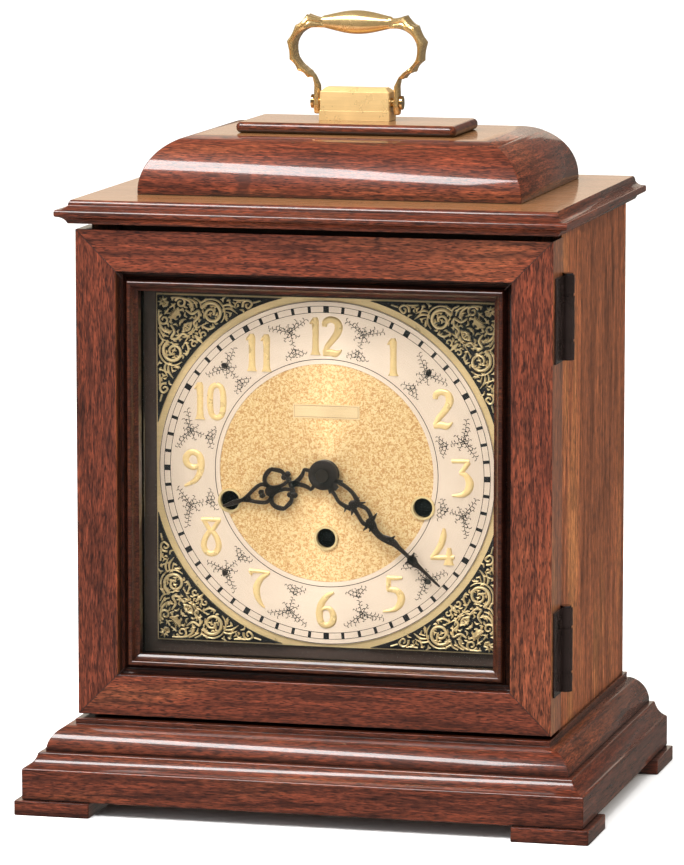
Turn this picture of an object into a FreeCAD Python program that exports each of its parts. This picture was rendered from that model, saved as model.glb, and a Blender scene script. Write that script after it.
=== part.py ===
import FreeCAD, Part
import math
import os

import Sketcher
from FreeCAD import Placement, Rotation, Vector

# Mantel clock with a spring-driven three-train movement.
# +X is to the right of the dial, -Y is the front, +Z is up.
# The origin is at the middle of the footprint, on the surface that the feet stand on.

DIMENSIONS = {
    # feet and base boards
    "foot_half_span": 124.0, "foot_width": 33.0, "foot_depth": 36.0, "foot_height": 6.2,
    "back_plane": 92.5,
    "plinth_half": 121.3, "plinth_front": 89.7, "plinth_face_top": 19.6, "plinth_top": 25.9,
    "plinth_cove_inset": 5.6, "plinth_cove_radius": 7.5,
    "torus_half": 113.1, "torus_front": 81.0, "torus_round_top": 36.3, "torus_round_inset": 9.1,
    "torus_radius": 10.5, "torus_top_inset": 10.2, "case_floor": 38.6,
    # case
    "case_half": 101.7, "board": 12.0, "case_front": 46.5, "post_depth": 39.0,
    "case_back": 88.5, "back_thickness": 6.0, "case_top": 249.7,
    "slot_half": 45.0, "slot_height": 4.0, "slot_pitch": 12.0, "slot_low": 95.0,
    # cornice, hood and pedestal
    "cornice_half": 109.85, "cornice_front": 74.8, "cornice_top": 259.6,
    "cornice_bottom_inset": 4.6, "nose_inset": 0.6, "nose_low": 252.7, "nose_high": 255.7,
    "upper_cove_inset": 4.8, "upper_cove_top": 257.4, "cornice_top_inset": 5.85,
    "cornice_cove": 4.5, "nose_radius": 1.7, "lip_radius": 2.6,
    "hood_half": 83.3, "hood_front": 41.0, "hood_back": 75.0, "hood_top": 284.0,
    "hood_spring": 261.0, "hood_radius": 23.0,
    "pedestal_half": 48.2, "pedestal_half_depth": 22.75, "pedestal_top": 288.8,
    "pedestal_corner": 3.0, "pedestal_nose": 2.2,
    # handle
    "handle_centre": 10.25, "block_half": 15.6, "block_half_depth": 6.0, "block_step_top": 292.9,
    "block_inset": 0.4, "block_face_top": 301.1, "block_top": 302.9,
    "block_top_half": 13.2, "block_top_half_depth": 3.2,
    "pivot_height": 296.5, "pivot_radius": 2.0, "pivot_clearance": 0.05, "pivot_end": 20.1,
    "pivot_head_radius": 3.0, "pivot_head_gap": 0.2, "arm_inner": 16.1, "arm_outer": 18.9,
    "arm_bottom": 291.2, "arm_top": 304.6, "strap_depth": 12.0, "arm_round": 5.2,
    "grip_axis": 330.7, "grip_half": 16.0, "grip_end_radius": 2.6, "grip_waist": 8.0,
    "grip_waist_radius": 4.3,
    # door
    "door_half": 102.7, "door_front": 67.5, "door_bottom": 40.1, "door_top": 247.2,
    "door_thickness": 19.5, "frame_width": 17.5, "tongue_width": 21.0, "tongue_depth": 6.0,
    "bead_root": 19.0, "bead_rise": 21.5, "bead_fall": 23.6, "bead_depth": 2.5,
    "bead_cove": 3.4, "bead_nose": 1.1, "bead_slope": 4.0, "stop_lip": 1.5, "stop_cove": 6.0,
    "sight_edge": 25.9, "sight_depth": 5.0, "bead_back": 9.5, "glass_gap": 0.2,
    "glass_thickness": 2.5, "stop_width": 26.0, "stop_depth": 18.0,
    # hinges
    "hinge_x": 104.4, "hinge_y": 47.0, "hinge_offset": 70.0, "barrel_radius": 3.0,
    "barrel_half": 17.8, "knuckle_half": 9.0, "bead_ring_radius": 2.6, "bead_ring": 1.1,
    "ring_gap": 0.1, "pin_radius": 1.2, "pin_clearance": 0.05, "pin_cap": 0.8,
    "leaf_thickness": 0.8, "leaf_reach": 17.6, "mortise_radius": 3.3,
    "leaf_screw_radius": 1.9, "leaf_screw_head": 0.5, "leaf_screw_shank": 0.9,
    "leaf_screw_length": 7.0, "leaf_screw_spacing": 11.0, "leaf_screw_reach": 9.7,
    "leaf_edge": 1.5,
    # door catch
    "catch_half_height": 10.0, "catch_inner": 84.5, "catch_outer": 89.7, "catch_plate": 1.0,
    # dial
    "dial_height": 143.65, "mat_front": 41.8, "mat_thickness": 4.0, "mat_opening": 65.0,
    "plate_front": 43.0, "plate_half": 74.5, "ring_front": 43.6, "ring_outer": 73.3,
    "ring_inner": 46.6, "centre_front": 43.4, "centre_radius": 46.5, "spandrel_front": 44.2,
    "spandrel_half": 73.8, "spandrel_arc": 76.3, "hole_radius": 4.2, "eyelet_radius": 5.2,
    "eyelet_rim": 0.6, "eyelet_front": 44.3,
    "side_hole_x": 42.1, "side_hole_drop": 13.1, "low_hole_drop": 27.7,
    "dial_hole": 4.6, "plaque_half": 14.5, "plaque_half_height": 3.0, "plaque_rise": 26.3,
    "plaque_thickness": 0.25, "rivet_radius": 1.1, "rivet_circle": 63.0, "rivet_head": 0.35,
    "dial_post_radius": 2.5, "dial_post_x": 56.0, "dial_post_low": 48.0, "dial_post_high": 24.0,
    # movement
    "front_plate": 31.0, "plate_thickness": 2.0, "back_plate": 1.0, "plate_side": 63.0,
    "plate_low": 55.0, "plate_high": 31.0, "pillar_radius": 3.0,
    "platform_half": 16.0, "platform_depth": 12.0, "platform_low": 5.0, "platform_high": 27.0,
    "arbor_radius": 1.4, "arbor_clearance": 0.05, "arbor_front": 50.6, "arbor_back": 4.0,
    "hour_pipe": 3.6, "hour_bore": 2.6, "hour_pipe_front": 46.6, "cannon_pipe": 2.5,
    "cannon_front": 49.8, "stud_radius": 1.0, "stud_length": 8.2, "stud_x": 11.88,
    "winding_radius": 2.5, "square_half": 1.7, "square_front": 40.4, "shoulder": 2.5,
    "ratchet_gap": 0.6, "ratchet_thickness": 1.6, "ratchet_module": 0.55,
    # toothed wheels, each by the depth of its front face and its thickness
    "barrel_wheel_front": 28.4, "barrel_wheel_thickness": 2.4, "side_barrel_module": 0.43,
    "drum_front": 26.2, "drum_back": 8.0, "going_drum": 21.5, "side_drum": 16.2,
    "centre_pinion_front": 28.6, "centre_pinion_thickness": 2.8,
    "centre_wheel_front": 5.0, "centre_wheel_thickness": 1.4, "centre_wheel_module": 0.4,
    "window_radius": 3.6, "window_circle": 8.6,
    "cannon_leaves_front": 35.8, "cannon_leaves_thickness": 2.6,
    "minute_wheel_front": 35.4, "minute_wheel_thickness": 1.4,
    "minute_leaves_front": 38.8, "minute_leaves_thickness": 3.6,
    "hour_wheel_front": 38.4, "hour_wheel_thickness": 1.2,
    # hands
    "hour_hand_front": 46.2, "minute_hand_front": 49.4, "hand_thickness": 0.9,
    "minute_length": 67.5, "hour_length": 45.0, "hub_radius": 6.0, "nut_radius": 2.8,
    "nut_front": 51.2, "nut_thickness": 1.4,
    # gong
    "rod_block_left": 88.0, "rod_block_right": 74.0, "rod_block_front": 24.0,
    "rod_block_back": 66.0, "rod_block_top": 70.0, "rod_height": 62.0, "rod_radius": 1.5,
    "rod_first": 30.0, "rod_pitch": 10.0, "rod_embed": 6.0, "rod_longest": 150.0,
    "rod_shortening": 9.0, "hammer_x": 40.0, "hammer_z": 72.0,
    "hammer_shaft_radius": 2.0, "hammer_shaft_end": 66.0, "hammer_hub_radius": 4.0,
    "hammer_hub_half": 2.0, "hammer_arm_half": 1.0, "hammer_arm_drop": 3.0, "hammer_reach": 22.0,
    "hammer_head": 3.5, "hammer_head_rise": 3.0, "hammer_gap": 0.8,
    "bracket_half": 6.0, "bracket_thickness": 2.0, "bracket_lap": 10.0,
}

MINUTE_HAND_ANGLE = 132.0
HOUR_HAND_ANGLE = 251.0
PRESSURE_ANGLE = math.radians(25.0)
ADDENDUM = 0.85
DEDENDUM = 1.15
BACKLASH = 0.10
FLANK_POINTS = 3
ROD_COUNT = 4
SLOT_COUNT = 6
GOING_BARREL_TEETH = 96
SIDE_BARREL_TEETH = 84
CENTRE_PINION_LEAVES = 12
CENTRE_WHEEL_TEETH = 80
CENTRE_WHEEL_WINDOWS = 4
CANNON_LEAVES = 14
MINUTE_WHEEL_TEETH = 42
MINUTE_LEAVES = 12
HOUR_WHEEL_TEETH = 48
RATCHET_TEETH = 28

doc = FreeCAD.newDocument("mantel_clock")
sheet = doc.addObject("Spreadsheet::Sheet", "Dims")
parts = []


class Size:
    """A length that carries its number and the sheet formula that gives it."""

    def __init__(self, value, formula=None):
        self.value = float(value)
        self.formula = formula or f"({float(value)})"

    def joined(self, other, sign, value):
        return Size(value, f"({self.formula} {sign} {as_size(other).formula})")

    def __add__(self, other):
        return self.joined(other, "+", self.value + as_size(other).value)

    def __sub__(self, other):
        return self.joined(other, "-", self.value - as_size(other).value)

    def __mul__(self, other):
        return self.joined(other, "*", self.value * as_size(other).value)

    def __radd__(self, other):
        return as_size(other) + self

    def __rsub__(self, other):
        return as_size(other) - self

    def __neg__(self):
        return as_size(0.0) - self


def as_size(number):
    return number if isinstance(number, Size) else Size(number)


class Dims:
    """The driving dimensions, each one readable as an attribute."""


def fill_sheet():
    dims = Dims()
    for row, (alias, value) in enumerate(DIMENSIONS.items(), start=1):
        sheet.set(f"A{row}", alias)
        sheet.set(f"B{row}", str(value))
        sheet.setAlias(f"B{row}", alias)
        setattr(dims, alias, Size(value, f"Dims.{alias}"))
    doc.recompute()
    return dims


dim = fill_sheet()


# ---------------------------------------------------------------- building blocks

def bind(thing, name, size):
    thing.setExpression(name, as_size(size).formula)


def place(thing, x, y, z, rotation=None):
    x, y, z = as_size(x), as_size(y), as_size(z)
    thing.Placement = Placement(Vector(x.value, y.value, z.value), rotation or Rotation())
    bind(thing, "Placement.Base.x", x)
    bind(thing, "Placement.Base.y", y)
    bind(thing, "Placement.Base.z", z)
    return thing


def keep(thing):
    """Mark a finished sub-part: its label becomes the file name."""
    parts.append(thing)
    return thing


def new(kind, label):
    thing = doc.addObject(kind, label)
    thing.Label = label
    return thing


def box(label, x_span, y_span, z_span):
    thing = new("Part::Box", label)
    for name, (low, high) in zip(("Length", "Width", "Height"), (x_span, y_span, z_span)):
        bind(thing, name, as_size(high) - low)
    return place(thing, x_span[0], y_span[0], z_span[0])


ROTATIONS = {
    "x": Rotation(Vector(0, 1, 0), 90),
    "y": Rotation(Vector(1, 0, 0), -90),
    "z": Rotation(),
}


def rod(label, axis, radius, start, length):
    """A cylinder that runs from start along +axis."""
    thing = new("Part::Cylinder", label)
    bind(thing, "Radius", radius)
    bind(thing, "Height", length)
    return place(thing, *start, ROTATIONS[axis])


def fuse(label, *things):
    thing = new("Part::MultiFuse", label)
    thing.Shapes = list(things)
    return thing


def group(label, things):
    """Several separate solids that are filed as one sub-part."""
    thing = new("Part::Compound", label)
    thing.Links = list(things)
    return thing


def cut(label, base, *tools):
    thing = new("Part::Cut", label)
    thing.Base = base
    thing.Tool = tools[0] if len(tools) == 1 else fuse(label + "_cutters", *tools)
    return thing


def sketch_on(body, plane, name, shift):
    """A sketch on one of the body's own origin planes, moved along the plane's normal."""
    sketch = body.newObject("Sketcher::SketchObject", name)
    support = [item for item in body.Origin.OriginFeatures if item.Role == plane][0]
    sketch.AttachmentSupport = [(support, "")]
    sketch.MapMode = "FlatFace"
    bind(sketch, "AttachmentOffset.Base.z", shift)
    return sketch


def arc_between(start, end, radius, side):
    """An arc that bulges to the left of travel (side 1) or to its right (side -1)."""
    chord = end - start
    left = Vector(-chord.y, chord.x, 0).normalize()
    sagitta_leg = math.sqrt(radius ** 2 - (chord.Length / 2) ** 2)
    centre = (start + end) * 0.5 - left * (side * sagitta_leg)
    first, last = (end, start) if side > 0 else (start, end)
    angles = [math.atan2(point.y - centre.y, point.x - centre.x) for point in (first, last)]
    if angles[1] < angles[0]:
        angles[1] += 2 * math.pi
    return Part.ArcOfCircle(Part.Circle(centre, Vector(0, 0, 1), radius), *angles)


def draw(sketch, corners):
    """Draw a closed loop. A corner is (u, v), or (u, v, radius, side) where an arc leads to it."""
    points = [Vector(as_size(c[0]).value, as_size(c[1]).value, 0) for c in corners]
    ends = []
    for index, corner in enumerate(corners):
        start, end = points[index - 1], points[index]
        if len(corner) == 2:
            edge = sketch.addGeometry(Part.LineSegment(start, end), False)
            ends.append((edge, 1, 2))
            continue
        radius, side = as_size(corner[2]), corner[3]
        edge = sketch.addGeometry(arc_between(start, end, radius.value, side), False)
        ends.append((edge, 2, 1) if side > 0 else (edge, 1, 2))
        number = sketch.addConstraint(Sketcher.Constraint("Radius", edge, radius.value))
        bind(sketch, f"Constraints[{number}]", radius)
    for index, corner in enumerate(corners):
        edge, start_end, far_end = ends[index]
        following = ends[(index + 1) % len(ends)]
        sketch.addConstraint(
            Sketcher.Constraint("Coincident", edge, far_end, following[0], following[1]))
        for kind, size in (("DistanceX", corner[0]), ("DistanceY", corner[1])):
            size = as_size(size)
            number = sketch.addConstraint(
                Sketcher.Constraint(kind, -1, 1, edge, far_end, size.value))
            bind(sketch, f"Constraints[{number}]", size)


def pad(body, sketch, length):
    feature = body.newObject("PartDesign::Pad", sketch.Name + "_pad")
    feature.Profile = sketch
    bind(feature, "Length", length)
    return feature


def pocket(body, sketch, length):
    """A pocket that cuts against the sketch's normal."""
    feature = body.newObject("PartDesign::Pocket", sketch.Name + "_pocket")
    feature.Profile = sketch
    bind(feature, "Length", length)
    return feature


def new_body(label):
    return new("PartDesign::Body", label)


# ---------------------------------------------------------------- moulded boards

def upward(profile, position, outward):
    """Corners of a moulding drawn from its bottom; outward is 1 if out is left of travel."""
    return [(position(inset), height, *((arc[0], arc[1] * outward) if arc else ()))
            for inset, height, *arc in profile]


def downward(profile, position, outward):
    corners = []
    arc = ()
    for inset, height, *arc_up in reversed(profile):
        corners.append((position(inset), height, *arc))
        arc = (arc_up[0], arc_up[1] * outward) if arc_up else ()
    return corners


def moulded_board(label, half_width, front, back, profile, shaped_back=False):
    """A board with one profile round its edges, mitred at the corners.

    The profile runs upward as (inset, height) or (inset, height, radius, bulge).
    """
    margin = 2.0
    bottom, top = profile[0][1], profile[-1][1]
    body = new_body(label)
    depth = sketch_on(body, "YZ_Plane", label + "_depth", -half_width)
    corners = upward(profile, lambda inset: as_size(inset) - front, 1)
    if shaped_back:
        corners += downward(profile, lambda inset: back - inset, 1)
    else:
        corners += [(back, top), (back, bottom)]
    draw(depth, corners)
    pad(body, depth, half_width * 2)
    sides = sketch_on(body, "XZ_Plane", label + "_ends", front + margin)
    limit = half_width + margin
    draw(sides, upward(profile, lambda inset: half_width - inset, -1)
         + [(limit, top), (limit, bottom)])
    draw(sides, upward(profile, lambda inset: as_size(inset) - half_width, 1)
         + [(-limit, top), (-limit, bottom)])
    pocket(body, sides, front + back + 2 * margin)
    return body


def build_base():
    feet = []
    for side in (-1, 1):
        outer = dim.foot_half_span * side
        x_span = sorted((outer, outer - dim.foot_width * side), key=lambda size: size.value)
        for name, near in (("front", -dim.back_plane), ("back", dim.back_plane - dim.foot_depth)):
            feet.append(box(f"foot_{name}_{side + 1}", x_span, (near, near + dim.foot_depth),
                            (0, dim.foot_height)))
    keep(group("feet", feet))
    keep(moulded_board("plinth", dim.plinth_half, dim.plinth_front, dim.back_plane, [
        (0, dim.foot_height),
        (0, dim.plinth_face_top),
        (dim.plinth_cove_inset, dim.plinth_top, dim.plinth_cove_radius, -1)]))
    keep(moulded_board("base_moulding", dim.torus_half, dim.torus_front, dim.back_plane, [
        (0, dim.plinth_top),
        (dim.torus_round_inset, dim.torus_round_top, dim.torus_radius, 1),
        (dim.torus_top_inset, dim.torus_round_top),
        (dim.torus_top_inset, dim.case_floor)]))


def build_top():
    keep(moulded_board("cornice", dim.cornice_half, dim.cornice_front, dim.back_plane, [
        (dim.cornice_bottom_inset, dim.case_top),
        (dim.nose_inset, dim.nose_low, dim.cornice_cove, -1),
        (dim.nose_inset, dim.nose_high, dim.nose_radius, 1),
        (dim.upper_cove_inset, dim.upper_cove_top, dim.cornice_cove, -1),
        (dim.cornice_top_inset, dim.cornice_top, dim.lip_radius, 1)]))
    keep(moulded_board("hood", dim.hood_half, dim.hood_front, dim.hood_back, [
        (0, dim.cornice_top),
        (0, dim.hood_spring),
        (dim.hood_radius, dim.hood_top, dim.hood_radius, 1)], shaped_back=True))
    build_pedestal()


def build_pedestal():
    body = new_body("handle_pedestal")
    plan = sketch_on(body, "XY_Plane", "pedestal_plan", dim.hood_top)
    left, right = -dim.pedestal_half, dim.pedestal_half
    near = dim.handle_centre - dim.pedestal_half_depth
    far = dim.handle_centre + dim.pedestal_half_depth
    turn = dim.pedestal_corner
    draw(plan, [(right - turn, near), (right, near + turn, turn, -1),
                (right, far - turn), (right - turn, far, turn, -1),
                (left + turn, far), (left, far - turn, turn, -1),
                (left, near + turn), (left + turn, near, turn, -1)])
    slab = pad(body, plan, dim.pedestal_top - dim.hood_top)
    doc.recompute()
    heights = (dim.hood_top.value, dim.pedestal_top.value)
    rims = [f"Edge{number}" for number, edge in enumerate(slab.Shape.Edges, start=1)
            if any(abs(edge.BoundBox.ZMin - height) < 1e-6 and edge.BoundBox.ZLength < 1e-6
                   for height in heights)]
    nose = body.newObject("PartDesign::Fillet", "pedestal_nose")
    nose.Base = (slab, rims)
    bind(nose, "Radius", dim.pedestal_nose)
    keep(body)


# ---------------------------------------------------------------- case

def hinge_heights():
    centre = (dim.door_bottom + dim.door_top) * 0.5
    return (centre - dim.hinge_offset, centre + dim.hinge_offset)


def hinge_mortises(label):
    """Round recesses that the hinge barrels sit in."""
    end_gap = 0.4
    height = (dim.barrel_half + dim.pin_cap + end_gap) * 2
    return [rod(f"{label}_mortise_{index}", "z", dim.mortise_radius,
                (dim.hinge_x, -dim.hinge_y, middle - height * 0.5), height)
            for index, middle in enumerate(hinge_heights())]


def build_case():
    inner = dim.case_half - dim.board
    rebate = dim.case_half - dim.board * 0.5
    height = (dim.case_floor, dim.case_top)
    post_span = (-dim.case_front, dim.post_depth - dim.case_front)
    panel_span = (post_span[1], dim.case_back)
    rebate_front = dim.case_back - dim.back_thickness
    keep(box("case_post_left", (-dim.case_half, -inner), post_span, height))
    blank = box("case_post_right_blank", (inner, dim.case_half), post_span, height)
    keep(cut("case_post_right", blank, *hinge_mortises("case_post_right"),
             *leaf_screws("post_holes", "case")))
    screws, shanks = back_screws()
    for name, side in (("left", -1), ("right", 1)):
        edges = sorted((inner * side, dim.case_half * side), key=lambda size: size.value)
        lap = sorted((inner * side, rebate * side), key=lambda size: size.value)
        blank = box(f"case_panel_{name}_blank", edges, panel_span, height)
        notch = box(f"case_panel_{name}_rebate", lap, (rebate_front, dim.case_back), height)
        keep(cut(f"case_panel_{name}", blank, notch, *shanks))
    panel = box("back_panel_blank", (-rebate, rebate), (rebate_front, dim.case_back), height)
    slots = []
    margin = 1.0
    for row in range(SLOT_COUNT):
        low = dim.slot_low + dim.slot_pitch * row
        slots.append(box(f"sound_slot_{row}", (-dim.slot_half, dim.slot_half),
                         (rebate_front - margin, dim.case_back + margin),
                         (low, low + dim.slot_height)))
    keep(cut("back_panel", panel, *slots, *shanks))
    keep(group("back_panel_screws", screws))
    build_dial_mat(inner)


def back_screws():
    """Button-head screws at the corners of the back, and the shanks that bore their holes."""
    head_radius, head_height, shank_radius, shank_length = 3.0, 1.6, 1.4, 14.0
    middle = dim.case_half - dim.board * 0.75
    corner_gap = 14.0
    screws, shanks = [], []
    for side in (-1, 1):
        for end, z in (("low", dim.case_floor + corner_gap), ("high", dim.case_top - corner_gap)):
            name = f"back_screw_{side + 1}_{end}"
            start = (middle * side, dim.case_back - shank_length, z)
            shank = rod(name + "_shank", "y", shank_radius, start, shank_length)
            head = rod(name + "_head", "y", head_radius, (middle * side, dim.case_back, z),
                       head_height)
            screws.append(fuse(name, shank, head))
            shanks.append(shank)
    return screws, shanks


def build_dial_mat(inner):
    """Four strips round the movement opening; the dial plate lies on their front."""
    depth = (-dim.mat_front, dim.mat_thickness - dim.mat_front)
    low = dim.dial_height - dim.mat_opening
    high = dim.dial_height + dim.mat_opening
    strips = [
        box("mat_bottom", (-inner, inner), depth, (dim.case_floor, low)),
        box("mat_top", (-inner, inner), depth, (high, dim.case_top)),
        box("mat_left", (-inner, -dim.mat_opening), depth, (low, high)),
        box("mat_right", (dim.mat_opening, inner), depth, (low, high)),
    ]
    keep(group("dial_mat", strips))
    catch_height = (dim.dial_height - dim.catch_half_height, dim.dial_height + dim.catch_half_height)
    keep(box("door_catch_magnet", (-dim.catch_outer, -dim.catch_inner),
             (-dim.case_front, -dim.mat_front), catch_height))
    door_back = dim.door_thickness - dim.door_front
    keep(box("door_catch_plate", (-dim.catch_outer, -dim.catch_inner),
             (door_back, door_back + dim.catch_plate), catch_height))


# ---------------------------------------------------------------- door

DOOR_SIDES = {"top": 0, "right": 90, "bottom": 180, "left": 270}


def mitred_strip(label, side, section):
    """One side of the door frame, drawn as (width, depth) and mitred at both ends."""
    upright = side in ("left", "right")
    height = dim.door_top - dim.door_bottom
    length = height if upright else dim.door_half * 2
    half = length * 0.5
    margin = 2.0
    reach = dim.sight_edge + margin
    body = new_body(label)
    end_face = sketch_on(body, "YZ_Plane", label + "_section", -half)
    draw(end_face, [(depth, -as_size(width), *arc) for width, depth, *arc in section])
    pad(body, end_face, length)
    mitres = sketch_on(body, "XZ_Plane", label + "_mitres", margin)
    draw(mitres, [(half, margin), (half + margin, margin), (half + margin, -reach),
                  (half - reach, -reach), (half, 0)])
    draw(mitres, [(-half, margin), (-half - margin, margin), (-half - margin, -reach),
                  (reach - half, -reach), (-half, 0)])
    pocket(body, mitres, dim.door_thickness + 2 * margin)
    places = {
        "top": (0, dim.door_top), "bottom": (0, dim.door_bottom),
        "left": (-dim.door_half, (dim.door_bottom + dim.door_top) * 0.5),
        "right": (dim.door_half, (dim.door_bottom + dim.door_top) * 0.5),
    }
    x, z = places[side]
    return place(body, x, -dim.door_front, z, Rotation(Vector(0, 1, 0), DOOR_SIDES[side]))


def build_door():
    frame_section = [
        (0, 0), (dim.frame_width, 0), (dim.frame_width, dim.tongue_depth),
        (dim.tongue_width, dim.tongue_depth), (dim.tongue_width, dim.door_thickness),
        (0, dim.door_thickness)]
    bead_section = [
        (dim.tongue_width, dim.tongue_depth),
        (dim.bead_root, dim.tongue_depth),
        (dim.bead_rise, dim.bead_depth, dim.bead_cove, 1),
        (dim.bead_fall, dim.bead_depth, dim.bead_nose, -1),
        (dim.sight_edge, dim.sight_depth, dim.bead_slope, 1),
        (dim.sight_edge, dim.bead_back),
        (dim.tongue_width, dim.bead_back)]
    glass_back = dim.bead_back + dim.glass_thickness
    stop_section = [
        (dim.tongue_width, glass_back), (dim.stop_width, glass_back),
        (dim.stop_width, glass_back + dim.stop_lip),
        (dim.tongue_width, dim.stop_depth, dim.stop_cove, -1)]
    for side in DOOR_SIDES:
        kind = "stile" if side in ("left", "right") else "rail"
        name = f"door_{kind}_{side}"
        if side == "right":
            blank = mitred_strip(name + "_blank", side, frame_section)
            keep(cut(name, blank, *hinge_mortises(name), *leaf_screws("stile_holes", "door")))
        else:
            keep(mitred_strip(name, side, frame_section))
    keep(group("door_bead", [mitred_strip(f"bead_{side}", side, bead_section)
                             for side in DOOR_SIDES]))
    keep(group("glass_stops", [mitred_strip(f"stop_{side}", side, stop_section)
                               for side in DOOR_SIDES]))
    edge = dim.tongue_width + dim.glass_gap
    keep(box("door_glass", (edge - dim.door_half, dim.door_half - edge),
             (dim.bead_back - dim.door_front, glass_back - dim.door_front),
             (dim.door_bottom + edge, dim.door_top - edge)))


# ---------------------------------------------------------------- hinges

def leaf_screws(label, owner):
    """Countersunk screws: door ones go in from the side, case ones from the front."""
    screws = []
    length = dim.leaf_screw_length
    for index, middle in enumerate(hinge_heights()):
        for end, z in (("low", middle - dim.leaf_screw_spacing),
                       ("high", middle + dim.leaf_screw_spacing)):
            name = f"{label}_{index}_{end}"
            if owner == "door":
                face = dim.door_half + dim.leaf_thickness
                y = dim.hinge_y + dim.leaf_screw_reach
                start = (face - length, -y, z)
                head = (face - dim.leaf_screw_head, -y, z)
                axis = "x"
            else:
                x = dim.hinge_x - dim.leaf_screw_reach
                start = (x, -dim.case_front - dim.leaf_thickness, z)
                head = start
                axis = "y"
            shank = rod(name + "_shank", axis, dim.leaf_screw_shank, start, length)
            cap = rod(name + "_head", axis, dim.leaf_screw_radius, head, dim.leaf_screw_head)
            screws.append(fuse(name, shank, cap))
    return screws


def build_hinges():
    door_leaves, case_leaves, pins = [], [], []
    bore = dim.pin_radius + dim.pin_clearance
    door_screws = leaf_screws("door_screw", "door")
    case_screws = leaf_screws("case_screw", "case")
    margin = 1.0
    pin_head_rim = 0.6
    collar = dim.knuckle_half + dim.ring_gap
    cap_start = collar + dim.bead_ring
    door_face = dim.door_half
    for index, middle in enumerate(hinge_heights()):
        axis_point = (dim.hinge_x, -dim.hinge_y)
        low, high = middle - dim.barrel_half, middle + dim.barrel_half

        def barrel(name, radius, start, end):
            return rod(name, "z", radius, (*axis_point, middle + start),
                       as_size(end) - start)

        past_end = dim.barrel_half + margin
        hole = barrel(f"pin_hole_{index}", bore, -past_end, past_end)
        tight_hole = barrel(f"pin_seat_{index}", dim.pin_radius, -past_end, past_end)
        knuckle = barrel(f"door_knuckle_{index}", dim.barrel_radius, -dim.knuckle_half,
                         dim.knuckle_half)
        door_plate = box(f"door_leaf_{index}",
                         (door_face, door_face + dim.leaf_thickness),
                         (-dim.hinge_y - dim.leaf_reach, -dim.hinge_y - dim.leaf_edge),
                         (low, high))
        gaps = [barrel(f"door_leaf_gap_{index}_{side + 1}", dim.mortise_radius,
                       *((dim.knuckle_half, past_end) if side > 0 else
                         (-past_end, -dim.knuckle_half))) for side in (-1, 1)]
        trimmed = cut(f"door_leaf_trimmed_{index}", door_plate, *gaps)
        door_leaves.append(cut(f"door_leaf_bored_{index}",
                               fuse(f"door_leaf_solid_{index}", trimmed, knuckle),
                               hole, *door_screws[2 * index:2 * index + 2]))

        case_plate = box(f"case_leaf_{index}",
                         (dim.hinge_x - dim.leaf_reach, dim.hinge_x - dim.leaf_edge),
                         (-dim.case_front - dim.leaf_thickness, -dim.case_front), (low, high))
        gap = barrel(f"case_leaf_gap_{index}", dim.mortise_radius, -collar, collar)
        plate = cut(f"case_leaf_trimmed_{index}", case_plate, gap)
        knuckles = []
        for side in (-1, 1):
            spans = {"cap": (cap_start, dim.barrel_half), "ring": (collar, cap_start)}
            for part, (start, end) in spans.items():
                radius = dim.barrel_radius if part == "cap" else dim.bead_ring_radius
                if side < 0:
                    start, end = -as_size(end), -as_size(start)
                knuckles.append(barrel(f"case_{part}_{index}_{side + 1}", radius, start, end))
        case_leaves.append(cut(f"case_leaf_bored_{index}",
                               fuse(f"case_leaf_solid_{index}", plate, *knuckles),
                               tight_hole, *case_screws[2 * index:2 * index + 2]))
        shaft = barrel(f"pin_shaft_{index}", dim.pin_radius, -dim.barrel_half, dim.barrel_half)
        head = barrel(f"pin_head_{index}", dim.barrel_radius - pin_head_rim, dim.barrel_half,
                      dim.barrel_half + dim.pin_cap)
        pins.append(fuse(f"pin_{index}", shaft, head))
    keep(group("door_hinge_leaves", door_leaves))
    keep(group("case_hinge_leaves", case_leaves))
    keep(group("hinge_pins", pins))
    keep(group("door_hinge_screws", door_screws))
    keep(group("case_hinge_screws", case_screws))


# ---------------------------------------------------------------- handle

def build_handle():
    y = dim.handle_centre
    near, far = y - dim.block_half_depth, y + dim.block_half_depth
    step = box("block_step", (-dim.block_half, dim.block_half), (near, far),
               (dim.pedestal_top, dim.block_step_top))
    side = dim.block_half - dim.block_inset
    face = box("block_face", (-side, side), (near + dim.block_inset, far - dim.block_inset),
               (dim.block_step_top, dim.block_face_top))
    top = new("Part::Wedge", "block_top")
    spans = {"Xmin": -side, "Xmax": side,
             "Ymin": dim.block_face_top, "Ymax": dim.block_top,
             "Zmin": dim.block_inset - dim.block_half_depth,
             "Zmax": dim.block_half_depth - dim.block_inset,
             "X2min": -dim.block_top_half, "X2max": dim.block_top_half,
             "Z2min": -dim.block_top_half_depth, "Z2max": dim.block_top_half_depth}
    for name, size in spans.items():
        bind(top, name, size)
    place(top, 0, y, 0, Rotation(Vector(1, 0, 0), 90))
    span = dim.pivot_end * 2
    start = (-dim.pivot_end, y, dim.pivot_height)
    shaft = rod("pivot_shaft", "x", dim.pivot_radius, start, span)
    keep(cut("handle_block", fuse("block_solid", step, face, top), shaft))
    cap_length = dim.pivot_end - dim.arm_outer - dim.pivot_head_gap
    caps = [rod("pivot_cap_left", "x", dim.pivot_head_radius, start, cap_length),
            rod("pivot_cap_right", "x", dim.pivot_head_radius,
                (dim.pivot_end - cap_length, y, dim.pivot_height), cap_length)]
    keep(fuse("handle_pivot_rod", shaft, *caps))
    build_bail(y)


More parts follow.
